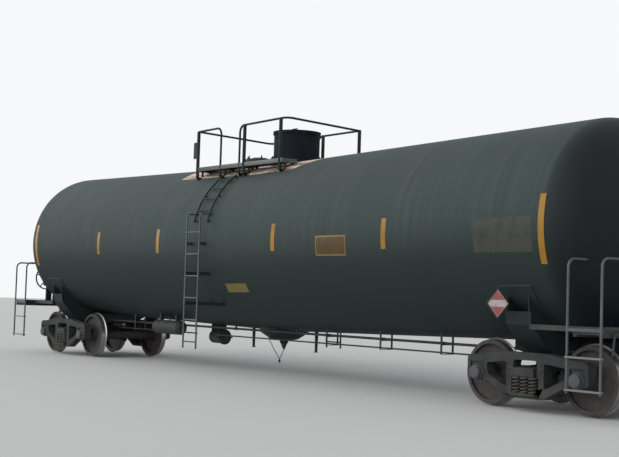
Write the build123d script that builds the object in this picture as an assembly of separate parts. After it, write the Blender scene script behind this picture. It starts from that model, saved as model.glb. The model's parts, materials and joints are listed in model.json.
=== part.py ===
"""Railway tank car with a bent, sloping tank on two three-piece trucks.

Millimetres, +Z up, +X along the car towards its A end, Y across it. Z is 0 under the wheel
flanges, and the origin is midway between the couplers on the centre line of the track.
Heights in the sizes below are above the top of the rail.
"""
from build123d import *
import os
from math import sqrt, sin, cos, tan, radians, atan2, pi

# Wheels, axles and the rail line
FLANGE_DEPTH = 26.0
WHEEL_RADIUS = 457.0
WHEEL_WIDTH = 145.0
WHEEL_BACK_Y = 676.0
FLANGE_THICKNESS = 32.0
RIM_DEPTH = 62.0
WEB_THICKNESS = 26.0
HUB_RADIUS = 140.0
HUB_LENGTH = 178.0
AXLE_RADIUS = 84.0
WHEEL_SEAT = 10.0
JOURNAL_RADIUS = 78.0
BEARING_RADIUS = 116.0
BEARING_LENGTH = 190.0
BEARING_STEP = 14.0
END_CAP_RADIUS = 92.0
END_CAP_LENGTH = 44.0
RUNNING_GAP = 6.0

# Trucks
WHEELBASE = 1778.0
FRAME_Y = 1003.0
FRAME_DEPTH = 168.0
FRAME_FLANGE = 22.0
FRAME_WEB = 52.0
FRAME_TOP = 775.0
FRAME_ARM = 112.0
FRAME_BOTTOM = 160.0
FRAME_SEAT = 222.0
WINDOW_HALF = 236.0
COLUMN_GUIDE = 22.0
COLUMN_WIDTH = 96.0
WINDOW_TOP = 672.0
PEDESTAL_HALF = 122.0
PEDESTAL_LEG = 60.0
ADAPTER_HEIGHT = 34.0
ADAPTER_WIDTH = 124.0
BOLSTER_HALF_WIDTH = 178.0
BOLSTER_END_TOP = 590.0
BOLSTER_END_BOTTOM = 458.0
BOLSTER_BELLY = 330.0
BOLSTER_TIP = 34.0
CENTRE_BOWL_RADIUS = 190.0
CENTRE_BOWL_WALL = 24.0
CENTRE_BOWL_DEPTH = 30.0
CENTRE_PLATE_Z = 654.0
SPRING_RADIUS = 68.0
SPRING_WIRE = 27.0
SPRING_PITCH = 144.0
SPRING_TURNS = 5
SPRING_LIP = 14.0
SIDE_BEARING_Y = 635.0
SIDE_BEARING_HEIGHT = 62.0
SHOE_GAP = 14.0
SHOE_THICKNESS = 44.0
SHOE_WIDTH = 84.0
BEAM_HEIGHT = 72.0
BEAM_DROP = 50.0
STRUT_LENGTH = 120.0

# Tank
TANK_RADIUS = 1545.0
TANK_BOTTOM = 790.0
TANK_AXIS_Z = TANK_BOTTOM + TANK_RADIUS
TANK_SLOPE = 1.1
TANK_HALF_LENGTH = 7470.0
HEAD_CROWN = 1.8
HEAD_KNUCKLE = 0.346
KNUCKLE_STEPS = 6
CROWN_STEPS = 5
PAD_THICKNESS = 12.0
TANK_TOP = TANK_AXIS_Z + TANK_RADIUS

# Sills and platforms, each tied to the tank's length
TRUCK_INSET = 600.0
END_OVERHANG = 1030.0
SILL_REACH = 1020.0
TRUCK_X = TANK_HALF_LENGTH - TRUCK_INSET
END_X = TANK_HALF_LENGTH + END_OVERHANG
SILL_INNER_X = TRUCK_X - SILL_REACH
SILL_WIDTH = 330.0
SILL_WALL = 18.0
SILL_FLANGE = 60.0
SILL_BOTTOM = 712.0
SILL_TOP = 1040.0
SILL_NOSE = 260.0
STRIKER_THICKNESS = 38.0
STRIKER_WIDTH = 500.0
STRIKER_DROP = 40.0
SADDLE_HALF = 230.0
SADDLE_WEB_X = 190.0
SADDLE_WEB = 18.0
SADDLE_TIP_Y = 1250.0
SADDLE_TIP_Z = 1330.0
SADDLE_PAD = 300.0
PLATFORM_TOP = 1165.0
PLATFORM_THICKNESS = 36.0
PLATFORM_DEPTH = 510.0
PLATFORM_HALF_WIDTH = 1480.0
CHANNEL_WIDTH = 60.0
BRACE_WIDTH = 50.0
BRACE_DEPTH = 70.0
STEP_Y = 1510.0
STEP_HEIGHTS = (360.0, 770.0)
STEP_THICKNESS = 24.0
STEP_WIDTH = 52.0
STEP_LENGTH = 530.0
STILE_BOTTOM = 330.0
STILE_TOP = 2020.0
STILE_INSET = 30.0
HANDRAIL_LEG_Y = 620.0
PIPE = 34.0
PIPE_BEND = 110.0

# Couplers and their levers
COUPLER_Z = 876.0
COUPLER_REACH = 405.0
SHANK_WIDTH = 150.0
SHANK_HEIGHT = 130.0
SHANK_REACH = 960.0
HEAD_HEIGHT = 270.0
HEAD_BACK = 345.0
LUG_HEIGHT = 38.0
LUG_RADIUS = 62.0
POCKET_RADIUS = 132.0
KNUCKLE_BACK = 112.0
KNUCKLE_SIDE = 148.0
KNUCKLE_PIN_RADIUS = 21.0
PIN_HEAD = 16.0
PIN_CLEARANCE = 1.0
LEVER_PIPE = 26.0
LEVER_OUT = 36.0
LEVER_Z = 1072.0
LEVER_HANDLE = 250.0

# Hand brake
BRAKE_WHEEL_RADIUS = 262.0
BRAKE_WHEEL_RIM = 26.0
BRAKE_WHEEL_Z = 1690.0
BRAKE_Y = 820.0
BRAKE_BACK = 290.0
SPOKES = 5

# Top platform, railing and fittings
DECK_RISE = -28.0
DECK_Z = TANK_TOP + DECK_RISE
DECK_THICKNESS = 32.0
DECK_EDGE = 72.0
DECK_PLATE = 8.0
DECK_LEFT = -1740.0
DECK_RIGHT = 1000.0
DECK_HALF_WIDTH = 925.0
DECK_INNER_Y = 590.0
LEG_LENGTH = 260.0
LEG_WIDTH = 44.0
LEG_PLATE = 14.0
RAIL_HEIGHT = 713.0
RAIL_TOP = DECK_Z + RAIL_HEIGHT
RAIL_PIPE = 40.0
POST_PIPE = 66.0
RAIL_BEND = 130.0
RAIL_FOOT = 186.0
RAIL_SAG = 55.0
RAIL_INSET = 6.0
RAIL_SHORT = 90.0
GAP_LEFT = 790.0
GAP_RIGHT = 1410.0
POST_X = (DECK_LEFT + 5, DECK_LEFT + GAP_LEFT, DECK_LEFT + GAP_RIGHT, DECK_LEFT + GAP_RIGHT + 150, DECK_RIGHT - 70)
LADDER_X = -610.0
LADDER_WIDTH = 430.0
LADDER_GAP = 135.0
LADDER_Y = TANK_RADIUS + LADDER_GAP
LADDER_BOTTOM = 440.0
LADDER_HANDHOLD = TANK_AXIS_Z + 545.0
LADDER_BRACKET = 60.0
RUNG = 24.0
RUNG_PITCH = 396.0
RUNG_COUNT = 6
TOP_RUNG_Z = TANK_AXIS_Z + 205.0
STRINGER_GAP = 85.0
STRINGER_ANGLES = (14.0, 54.0)
HOUSING_X = 200.0
HOUSING_RADIUS = 425.0
HOUSING_WALL = 10.0
HOUSING_HEIGHT = 575.0
HOUSING_TOP = TANK_TOP + HOUSING_HEIGHT
HOUSING_FLOOR = TANK_TOP + 0.2 * HOUSING_HEIGHT
HOUSING_FOOT = 40.0
LID_LIP = 20.0
LID_RIM = 46.0
LID_THICKNESS = 8.0
LID_GAP = 3.0
LID_OPEN_BACK = 0.4
HINGE_PIN = 12.0
MANWAY_WALL = 18.0
MANWAY_X = -960.0
MANWAY_RADIUS = 255.0
MANWAY_HEIGHT = 130.0
MANWAY_TOP = TANK_TOP + MANWAY_HEIGHT
MANWAY_FLANGE = 38.0
FLANGE_PLATE = 28.0
COVER_THICKNESS = 26.0
COVER_DOME = 46.0
HINGE_REACH = 330.0
EYEBOLTS = 6

# Under the tank
OUTLET_RADIUS = 150.0
OUTLET_SUMP = 210.0
OUTLET_TOP = 860.0
OUTLET_BOTTOM = 655.0
CAP_RADIUS = 80.0
CAP_BOTTOM = 575.0
SPIKE_BOTTOM = 470.0
GUARD_X = 950.0
GUARD_BOTTOM = 445.0
RESERVOIR_X = (-3500.0, -2500.0)
RESERVOIR_Y = -650.0
RESERVOIR_Z = 740.0
RESERVOIR_RADIUS = 140.0
CYLINDER_X = (-2350.0, -1950.0)
CYLINDER_Z = 590.0
CYLINDER_RADIUS = 130.0
LEVER_LENGTH = 400.0
ROD_Y = 300.0
ROD_Z = 640.0
ROD_RADIUS = 13.0
ROD_INSET = 150.0
AIR_PIPE_Y = 430.0
AIR_PIPE_Z = 790.0
AIR_PIPE_RADIUS = 21.0
HANGER_PITCH = 1400.0
HANGERS = 3
HANGER_INSET = 700.0
HANGER = 24.0


def above_rail(z):
    """Height above the top of the rail, as a height above the flange bottoms."""
    return z + FLANGE_DEPTH


def block(x0, x1, y0, y1, z0, z1):
    """Box between two corners, its heights measured above the rail."""
    size = Box(x1 - x0, abs(y1 - y0), z1 - z0)
    return Pos((x0 + x1) / 2, (y0 + y1) / 2, above_rail((z0 + z1) / 2)) * size


def disc(x, y, z0, z1, radius):
    """Upright cylinder between two heights above the rail."""
    return Pos(x, y, above_rail((z0 + z1) / 2)) * Cylinder(radius, z1 - z0)


def skin(loops):
    """Solid with flat faces through equal loops of points, closed by the first and the last."""
    faces = [Face(Wire.make_polygon(loops[0])), Face(Wire.make_polygon(loops[-1]))]
    for low, high in zip(loops, loops[1:]):
        for i in range(len(low)):
            j = (i + 1) % len(low)
            faces.append(Face(Wire.make_polygon([low[i], low[j], high[j], high[i]])))
    return Part() + Solid(Shell(faces))


def rounded_route(points, bend):
    """The points of a route, each corner drawn as three short chords of an arc."""
    route = [points[0]]
    for before, corner, after in zip(points, points[1:], points[2:]):
        back = (before - corner).normalized()
        ahead = (after - corner).normalized()
        half = radians(back.get_angle(ahead)) / 2
        reach = bend / tan(half)
        centre = corner + (back + ahead).normalized() * (bend / sin(half))
        start = corner + back * reach - centre
        end = corner + ahead * reach - centre
        for step in (0, 1 / 3, 2 / 3, 1):
            route.append(centre + (start * (1 - step) + end * step).normalized() * bend)
    return route + [points[-1]]


def pipe(points, diameter, bend=0.0, sides=8):
    """Bar or bent pipe with a few flat sides and mitred corners, its heights above the rail."""
    route = [Vector(x, y, above_rail(z)) for x, y, z in points]
    if bend:
        route = rounded_route(route, bend)
    legs = [(b - a).normalized() for a, b in zip(route, route[1:])]
    normals = [legs[0]] + [a + b for a, b in zip(legs, legs[1:])] + [legs[-1]]
    frame = Plane(origin=route[0], z_dir=legs[0])
    reach = diameter / 2 / cos(pi / sides)
    turns = [2 * pi * (i + 0.5) / sides for i in range(sides)]
    loop = [route[0] + frame.x_dir * (reach * cos(t)) + frame.y_dir * (reach * sin(t)) for t in turns]
    loops = [loop]
    for leg, corner, normal in zip(legs, route[1:], normals[1:]):
        loop = [p + leg * ((corner - p).dot(normal) / leg.dot(normal)) for p in loop]
        loops.append(loop)
    return skin(loops)


def slab_xz(points, y0, y1):
    """Outline in the X-Z plane, heights above the rail, spread from y0 to y1."""
    outline = make_face(Polyline(*[(x, above_rail(z)) for x, z in points], close=True))
    return extrude(Plane.XZ.offset(-y1) * outline, amount=y1 - y0)


def slab_yz(points, x0, x1):
    """Outline in the Y-Z plane, heights above the rail, spread from x0 to x1."""
    outline = make_face(Polyline(*[(y, above_rail(z)) for y, z in points], close=True))
    return extrude(Plane.YZ.offset(x0) * outline, amount=x1 - x0)


def moved_in(points, amount):
    """Closed outline with every edge moved in by an amount, or out by a negative one."""
    pairs = list(zip(points, points[1:] + points[:1]))
    turn = 1 if sum(a[0] * b[1] - b[0] * a[1] for a, b in pairs) > 0 else -1
    lines = []
    for (x0, z0), (x1, z1) in pairs:
        length = sqrt((x1 - x0) ** 2 + (z1 - z0) ** 2)
        nx, nz = -turn * (z1 - z0) / length, turn * (x1 - x0) / length
        lines.append((nx, nz, nx * x0 + nz * z0 + amount))
    corners = []
    for (a, b, c), (d, e, f) in zip(lines[-1:] + lines[:-1], lines):
        scale = a * e - b * d
        corners.append(((c * e - b * f) / scale, (a * f - c * d) / scale))
    return corners


def plate_face(outline, holes):
    """Face of a closed outline with closed holes."""
    face = Face(Polyline(*outline, close=True).wire())
    for hole in holes:
        face -= Face(Polyline(*hole, close=True).wire())
    return Sketch() + face


def turned_x(profile):
    """Profile of (x, radius) points turned about the X axis."""
    return revolve(make_face(Polyline(*profile, close=True)), axis=Axis.X)


def turned_z(x, y, profile):
    """Profile of (radius, height above the rail) points turned about an upright axis."""
    points = [(radius, above_rail(z)) for radius, z in profile]
    return Pos(x, y, 0) * revolve(Plane.XZ * make_face(Polyline(*points, close=True)), axis=Axis.Z)


def both_ends(part):
    """The A end piece and the B end piece, half a turn apart about the vertical."""
    return {"a": part, "b": Rot(0, 0, 180) * part}


def both_sides(part):
    """A piece and its mirror image across the centre line."""
    return part + mirror(part, about=Plane.XZ)


def mirrored(points):
    """Points of half an outline, joined by their mirror images in reverse."""
    return points + [(-a, b) for a, b in reversed(points)]


def spread(start, end, count):
    """Evenly spaced places from start to end."""
    return [start + (end - start) * i / (count - 1) for i in range(count)]


def axis_height(x):
    """Height of the tank's axis above the rail at a distance x from the middle."""
    return TANK_AXIS_Z + abs(x) * tan(radians(TANK_SLOPE))


def tank_point(x, angle, out=0.0):
    """Point beside the near side of the tank, at an angle above the level of its axis."""
    reach = TANK_RADIUS + out
    return (x, -reach * cos(radians(angle)), axis_height(x) + reach * sin(radians(angle)))


# Tank

def tank_solid(grow=0.0):
    """Two cylinders that rise from the middle, each closed by a dished head of short cones."""
    radius = TANK_RADIUS + grow
    crown = HEAD_CROWN * TANK_RADIUS + grow
    knuckle = HEAD_KNUCKLE * TANK_RADIUS + grow
    centre_y = radius - knuckle
    crown_x = TANK_HALF_LENGTH - sqrt((crown - knuckle) ** 2 - centre_y ** 2)
    turn = atan2(centre_y, TANK_HALF_LENGTH - crown_x)
    bend = []
    for step in range(KNUCKLE_STEPS):
        angle = pi / 2 - (pi / 2 - turn) * step / KNUCKLE_STEPS
        bend.append((TANK_HALF_LENGTH + knuckle * cos(angle), centre_y + knuckle * sin(angle)))
    for step in range(CROWN_STEPS + 1):
        angle = turn * (1 - step / CROWN_STEPS)
        bend.append((crown_x + crown * cos(angle), crown * sin(angle)))
    start = -radius / 4
    edge = Polyline((start, 0), (start, radius), *bend, close=True)
    half = revolve(make_face(edge), axis=Axis.X)
    half = Pos(0, 0, above_rail(TANK_AXIS_Z)) * (Rot(0, -TANK_SLOPE, 0) * half)
    reach = 2 * TANK_HALF_LENGTH
    half &= Pos(reach / 2, 0, above_rail(TANK_AXIS_Z)) * Box(reach, reach, reach)
    return half + mirror(half, about=Plane.YZ)


# Running gear

def wheel():
    """Wheel with its flange inboard, turned about X, its back at 0 and its tread outboard."""
    rim_inner = WHEEL_RADIUS - RIM_DEPTH
    flange_top = WHEEL_RADIUS + FLANGE_DEPTH
    hub_back = (WHEEL_WIDTH - HUB_LENGTH) / 2
    web_in = WHEEL_WIDTH * 0.30
    web_out = WHEEL_WIDTH * 0.62
    return turned_x([
        (hub_back, 0), (hub_back, HUB_RADIUS), (web_in, HUB_RADIUS),
        (web_out - WEB_THICKNESS, rim_inner), (0, rim_inner),
        (0, flange_top - 12), (12, flange_top), (FLANGE_THICKNESS, WHEEL_RADIUS),
        (WHEEL_WIDTH - 8, WHEEL_RADIUS - 4), (WHEEL_WIDTH, WHEEL_RADIUS - 12),
        (WHEEL_WIDTH, rim_inner), (web_out, rim_inner),
        (web_in + WEB_THICKNESS, HUB_RADIUS), (hub_back + HUB_LENGTH, HUB_RADIUS),
        (hub_back + HUB_LENGTH, 0),
    ])


def wheelset(x):
    """Axle with its pressed-on wheels, and the caps that turn with it."""
    to_y = Pos(x, 0, above_rail(WHEEL_RADIUS)) * Rot(0, 0, 90)
    right = Pos(WHEEL_BACK_Y, 0, 0) * wheel()
    wheels = right + mirror(right, about=Plane.YZ)
    seat = WHEEL_BACK_Y + WHEEL_WIDTH + 20
    tip = FRAME_Y + BEARING_LENGTH / 2 + 12
    half = turned_x([
        (0, 0), (0, AXLE_RADIUS), (WHEEL_BACK_Y - 60, AXLE_RADIUS + WHEEL_SEAT),
        (seat, AXLE_RADIUS + WHEEL_SEAT), (seat, JOURNAL_RADIUS), (tip, JOURNAL_RADIUS),
        (tip, END_CAP_RADIUS), (tip + END_CAP_LENGTH - 12, END_CAP_RADIUS),
        (tip + END_CAP_LENGTH, END_CAP_RADIUS - 18), (tip + END_CAP_LENGTH, 0),
    ])
    axle = half + mirror(half, about=Plane.YZ)
    return to_y * (wheels - axle), to_y * axle


def bearing(x, y):
    """Roller bearing cup that stays still in the frame, bored clear of the turning journal."""
    half = BEARING_LENGTH / 2
    bore = JOURNAL_RADIUS + PIN_CLEARANCE
    neck = BEARING_RADIUS - BEARING_STEP
    cup = turned_x([
        (-half, bore), (-half, neck), (-half + 26, BEARING_RADIUS),
        (half - 26, BEARING_RADIUS), (half, neck), (half, bore),
    ])
    return Pos(x, y, above_rail(WHEEL_RADIUS)) * (Rot(0, 0, 90) * cup)


def bearing_adapter(x, y):
    """Saddle between a bearing and the roof of its pedestal."""
    roof = WHEEL_RADIUS + BEARING_RADIUS + ADAPTER_HEIGHT
    reach = PEDESTAL_HALF - 4
    wide = ADAPTER_WIDTH / 2
    saddle = block(x - reach, x + reach, y - wide, y + wide, WHEEL_RADIUS + 40, roof)
    hollow = Rot(90, 0, 0) * Cylinder(BEARING_RADIUS, BEARING_LENGTH)
    return saddle - Pos(x, y, above_rail(WHEEL_RADIUS)) * hollow


def frame_outline():
    """Side view of a cast side frame: arched top, pedestal jaws and a deep middle."""
    half_base = WHEELBASE / 2
    roof = WHEEL_RADIUS + BEARING_RADIUS + ADAPTER_HEIGHT
    jaw_in = half_base - PEDESTAL_HALF
    jaw_out = half_base + PEDESTAL_HALF
    tip = jaw_out + PEDESTAL_LEG
    column = WINDOW_HALF + COLUMN_WIDTH
    return mirrored([
        (column + 20, FRAME_TOP), (column + 90, FRAME_TOP - 8),
        (jaw_in + 10, roof + FRAME_ARM - 4), (jaw_out - 30, roof + FRAME_ARM - 12),
        (tip - 14, roof + FRAME_ARM - 40), (tip, roof + FRAME_ARM - 72),
        (tip, WHEEL_RADIUS - 52), (tip - 12, WHEEL_RADIUS - 72), (jaw_out, WHEEL_RADIUS - 72),
        (jaw_out, roof), (jaw_in, roof), (jaw_in, WHEEL_RADIUS - 88),
        (jaw_in - 20, WHEEL_RADIUS - 104), (jaw_in - 66, WHEEL_RADIUS - 96),
        (column + 60, FRAME_BOTTOM + 40), (column + 10, FRAME_BOTTOM + 10),
        (column - 40, FRAME_BOTTOM),
    ])


def frame_windows():
    """The spring and bolster window, and the lightening hole each side of it."""
    guide = WINDOW_HALF - COLUMN_GUIDE
    middle = mirrored([
        (WINDOW_HALF, FRAME_SEAT), (WINDOW_HALF, BOLSTER_END_BOTTOM - 24),
        (guide, BOLSTER_END_BOTTOM), (guide, WINDOW_TOP - 34), (guide - 34, WINDOW_TOP),
    ])
    inner = WINDOW_HALF + COLUMN_WIDTH
    jaw = WHEELBASE / 2 - PEDESTAL_HALF
    top = FRAME_TOP - FRAME_ARM
    side = [
        (inner, top - 46), (inner + 16, top - 30), (inner + 60, top - 26),
        (jaw - 84, top - 58), (jaw - 66, top - 84), (jaw - 88, WHEEL_RADIUS - 6),
        (inner + 34, FRAME_BOTTOM + 150), (inner, FRAME_BOTTOM + 160),
    ]
    return middle, side, [(-x, z) for x, z in reversed(side)]


def side_frame(side):
    """Cast frame: a web with open windows, a flange round every edge, and a spring seat."""
    outline, windows = frame_outline(), frame_windows()
    body = extrude(Plane.XZ * plate_face(outline, windows), amount=FRAME_DEPTH / 2, both=True)
    edges = [moved_in(window, -FRAME_FLANGE) for window in windows]
    recess = plate_face(moved_in(outline, FRAME_FLANGE), edges)
    depth = (FRAME_DEPTH - FRAME_WEB) / 2
    for facing in (-1, 1):
        body -= extrude(Plane.XZ.offset(facing * FRAME_DEPTH / 2) * recess, amount=-facing * depth)
    body = Pos(0, side * FRAME_Y, FLANGE_DEPTH) * body
    reach = SPRING_PITCH / 2 + SPRING_RADIUS + SPRING_LIP
    seat = slab_yz([
        (-reach, FRAME_SEAT + SPRING_LIP), (-reach, FRAME_SEAT - 22), (-70, FRAME_BOTTOM),
        (70, FRAME_BOTTOM), (reach, FRAME_SEAT - 22), (reach, FRAME_SEAT + SPRING_LIP),
        (reach - SPRING_LIP, FRAME_SEAT + SPRING_LIP), (reach - SPRING_LIP, FRAME_SEAT),
        (SPRING_LIP - reach, FRAME_SEAT), (SPRING_LIP - reach, FRAME_SEAT + SPRING_LIP),
    ], SPRING_LIP / 2 - WINDOW_HALF, WINDOW_HALF - SPRING_LIP / 2)
    return body + Pos(0, side * FRAME_Y, 0) * seat


def truck_bolster():
    """Fish-bellied beam with a centre bowl, side bearings, and holes through its sides."""
    tip = FRAME_Y + FRAME_DEPTH / 2 + BOLSTER_TIP
    floor = CENTRE_PLATE_Z - CENTRE_BOWL_DEPTH
    seat_y = FRAME_Y - SPRING_PITCH / 2 - SPRING_RADIUS - SPRING_LIP
    shoulder = SIDE_BEARING_Y + 90
    belly = 2.2 * CENTRE_BOWL_RADIUS
    beam = slab_yz(mirrored([
        (belly, BOLSTER_BELLY), (seat_y, BOLSTER_END_BOTTOM), (tip, BOLSTER_END_BOTTOM),
        (tip, BOLSTER_END_TOP - 22), (shoulder, BOLSTER_END_TOP + 8), (0.4 * shoulder, floor),
    ]), -BOLSTER_HALF_WIDTH, BOLSTER_HALF_WIDTH)
    low, high = BOLSTER_BELLY + 70, BOLSTER_END_TOP - 54
    for y0, y1, drop in ((belly - 110, belly + 60, 0), (belly + 120, belly + 240, 55)):
        z0 = low + drop
        for side in (-1, 1):
            hole = [
                (y0, z0 + 20), (y0 + 20, z0), (y1 - 20, z0 + 18), (y1, z0 + 38),
                (y1, high - 20), (y1 - 20, high), (y0 + 20, high), (y0, high - 20),
            ]
            beam -= slab_yz([(side * y, z) for y, z in hole], -2 * BOLSTER_HALF_WIDTH, 2 * BOLSTER_HALF_WIDTH)
    neck = FRAME_Y - FRAME_DEPTH / 2 - 8
    clear = WINDOW_HALF - COLUMN_GUIDE - 8
    gib = WINDOW_HALF - COLUMN_GUIDE + 14
    for side in (-1, 1):
        inboard = neck - 60
        for facing in (-1, 1):
            edge = sorted((facing * BOLSTER_HALF_WIDTH, facing * gib))
            beam += block(edge[0], edge[1], side * inboard, side * neck, BOLSTER_END_BOTTOM, BOLSTER_END_TOP - 30)
            wedge = sorted((facing * BOLSTER_HALF_WIDTH, facing * clear))
            beam += block(wedge[0], wedge[1], side * (FRAME_Y - 60), side * (FRAME_Y + 60),
                          BOLSTER_END_BOTTOM, BOLSTER_END_TOP - 40)
        y = side * SIDE_BEARING_Y
        beam += block(-90, 90, y - 60, y + 60, BOLSTER_END_TOP - 20, BOLSTER_END_TOP + SIDE_BEARING_HEIGHT)
    rim = CENTRE_BOWL_RADIUS + CENTRE_BOWL_WALL
    bowl = disc(0, 0, floor - 20, CENTRE_PLATE_Z, rim)
    return beam + bowl - disc(0, 0, floor, CENTRE_PLATE_Z, CENTRE_BOWL_RADIUS)


def spring(x, y):
    """Coil spring between its seat and the bolster, its coils as six-sided ridges."""
    height = BOLSTER_END_BOTTOM - FRAME_SEAT
    core = SPRING_RADIUS - SPRING_WIRE
    loops = []
    for step in range(2 * SPRING_TURNS + 1):
        radius = 0.98 * (core if step % 2 else SPRING_RADIUS)
        z = above_rail(FRAME_SEAT + height * step / (2 * SPRING_TURNS))
        turns = [2 * pi * (i + 0.5) / 6 for i in range(6)]
        loops.append([Vector(x + radius * cos(t), y + radius * sin(t), z) for t in turns])
    return skin(loops)


def spring_group():
    """Six springs on each side frame, in three rows of two."""
    group = Part()
    for side in (-1, 1):
        for row in (-1, 0, 1):
            for rank in (-1, 1):
                group += spring(row * SPRING_PITCH, side * FRAME_Y + rank * SPRING_PITCH / 2)
    return group


def brake_beams():
    """Two trussed beams across the truck, each with shoes just clear of its wheels."""
    beams = Part()
    z = WHEEL_RADIUS - BEAM_DROP
    half = BEAM_HEIGHT / 2
    inner = WHEEL_RADIUS + SHOE_GAP
    shoe_y = WHEEL_BACK_Y + WHEEL_WIDTH / 2 + 12
    for end in (-1, 1):
        axle = end * WHEELBASE / 2
        back = axle - end * (inner + SHOE_THICKNESS - 10)
        front = back - end * 46
        tip = front - end * STRUT_LENGTH
        for side in (-1, 1):
            y = side * shoe_y
            ring = Cylinder(inner + SHOE_THICKNESS, SHOE_WIDTH) - Cylinder(inner, SHOE_WIDTH)
            ring = Pos(axle, y, above_rail(WHEEL_RADIUS)) * (Rot(90, 0, 0) * ring)
            inboard = sorted((axle - end * 300, axle - end * 560))
            beams += ring & block(inboard[0], inboard[1], y - 60, y + 60, z - 150, z + 150)
            head = sorted((back + end * 4, front - end * 12))
            beams += block(head[0], head[1], y - 30, y + 30, z - 86, z + 86)
            beams += pipe([(front, side * (shoe_y - 24), z), (tip, side * 30, z)], 32, sides=6)
        bar = sorted((back, front))
        beams += block(bar[0], bar[1], -shoe_y - 40, shoe_y + 40, z - half, z + half)
        strut = sorted((front + end * 4, tip - end * 10))
        beams += block(strut[0], strut[1], -36, 36, z - 28, z + 28)
    return beams


# Couplers

def knuckle_pivot():
    """Plan position of the knuckle pin."""
    return END_X + COUPLER_REACH - KNUCKLE_BACK, KNUCKLE_SIDE


def coupler_head():
    """Coupler head with its guard arm and pin lugs, a flared neck and a slotted shank."""
    face = END_X + COUPLER_REACH
    z = above_rail(COUPLER_Z)
    half = HEAD_HEIGHT / 2
    plan = [
        (-HEAD_BACK, -75), (-HEAD_BACK, 75), (-300, 118), (-262, 165), (-190, 200), (-112, 212),
        (-62, 208), (-58, 96), (-134, 92), (-156, 54), (-160, -30), (-140, -86), (-96, -128),
        (-48, -164), (-12, -200), (0, -222), (-10, -240), (-60, -244), (-130, -224), (-206, -182),
        (-270, -134), (-312, -104),
    ]
    body = extrude(make_face(Polyline(*plan, close=True)), amount=HEAD_HEIGHT)
    body = Pos(face, 0, z - half) * body
    body &= slab_xz([
        (face - HEAD_BACK, COUPLER_Z - 80), (face - 280, COUPLER_Z - 104),
        (face - 210, COUPLER_Z - half), (face - 40, COUPLER_Z - half), (face, COUPLER_Z - half + 22),
        (face, COUPLER_Z + half - 22), (face - 40, COUPLER_Z + half), (face - 210, COUPLER_Z + half),
        (face - 280, COUPLER_Z + 104), (face - HEAD_BACK, COUPLER_Z + 80),
    ], -300, 300)
    x, y = knuckle_pivot()
    open_z = half - LUG_HEIGHT
    body -= disc(x, y, COUPLER_Z - open_z, COUPLER_Z + open_z, POCKET_RADIUS)
    for side in (-1, 1):
        lug = sorted((COUPLER_Z + side * open_z, COUPLER_Z + side * half))
        body += disc(x, y, lug[0], lug[1], LUG_RADIUS)
    shank = block(
        face - SHANK_REACH, face - HEAD_BACK + 6, -SHANK_WIDTH / 2, SHANK_WIDTH / 2,
        COUPLER_Z - SHANK_HEIGHT / 2, COUPLER_Z + SHANK_HEIGHT / 2,
    )
    shank -= block(face - SHANK_REACH + 70, face - SHANK_REACH + 110, -200, 200, COUPLER_Z - 42, COUPLER_Z + 42)
    return body + shank + knuckle_pin()


def knuckle():
    """Swinging jaw of the coupler, bored for its pin, drawn closed."""
    face = END_X + COUPLER_REACH
    x, y = knuckle_pivot()
    half = HEAD_HEIGHT / 2 - LUG_HEIGHT - RUNNING_GAP
    jaw = [
        (-172, 128), (-160, 176), (-132, 204), (-104, 210), (-68, 206), (-34, 190), (-10, 162), (0, 128),
        (0, 32), (-8, 4), (-26, -13), (-50, -16), (-70, -4), (-80, 20), (-84, 58), (-96, 86), (-152, 92),
    ]
    body = extrude(make_face(Polyline(*jaw, close=True)), amount=2 * half)
    body = Pos(face, 0, above_rail(COUPLER_Z) - half) * body
    body += disc(x, y, COUPLER_Z - half, COUPLER_Z + half, LUG_RADIUS - 2)
    body -= disc(face - 40, 44, COUPLER_Z - half, COUPLER_Z + half, 17)
    return body - disc(x, y, COUPLER_Z - half, COUPLER_Z + half, KNUCKLE_PIN_RADIUS + PIN_CLEARANCE)


def knuckle_pin():
    """Pin through the lugs, with a head on top."""
    x, y = knuckle_pivot()
    half = HEAD_HEIGHT / 2
    shaft = disc(x, y, COUPLER_Z - half, COUPLER_Z + half, KNUCKLE_PIN_RADIUS)
    return shaft + disc(x, y, COUPLER_Z + half, COUPLER_Z + half + PIN_HEAD, 1.6 * KNUCKLE_PIN_RADIUS)


# Underframe

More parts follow.
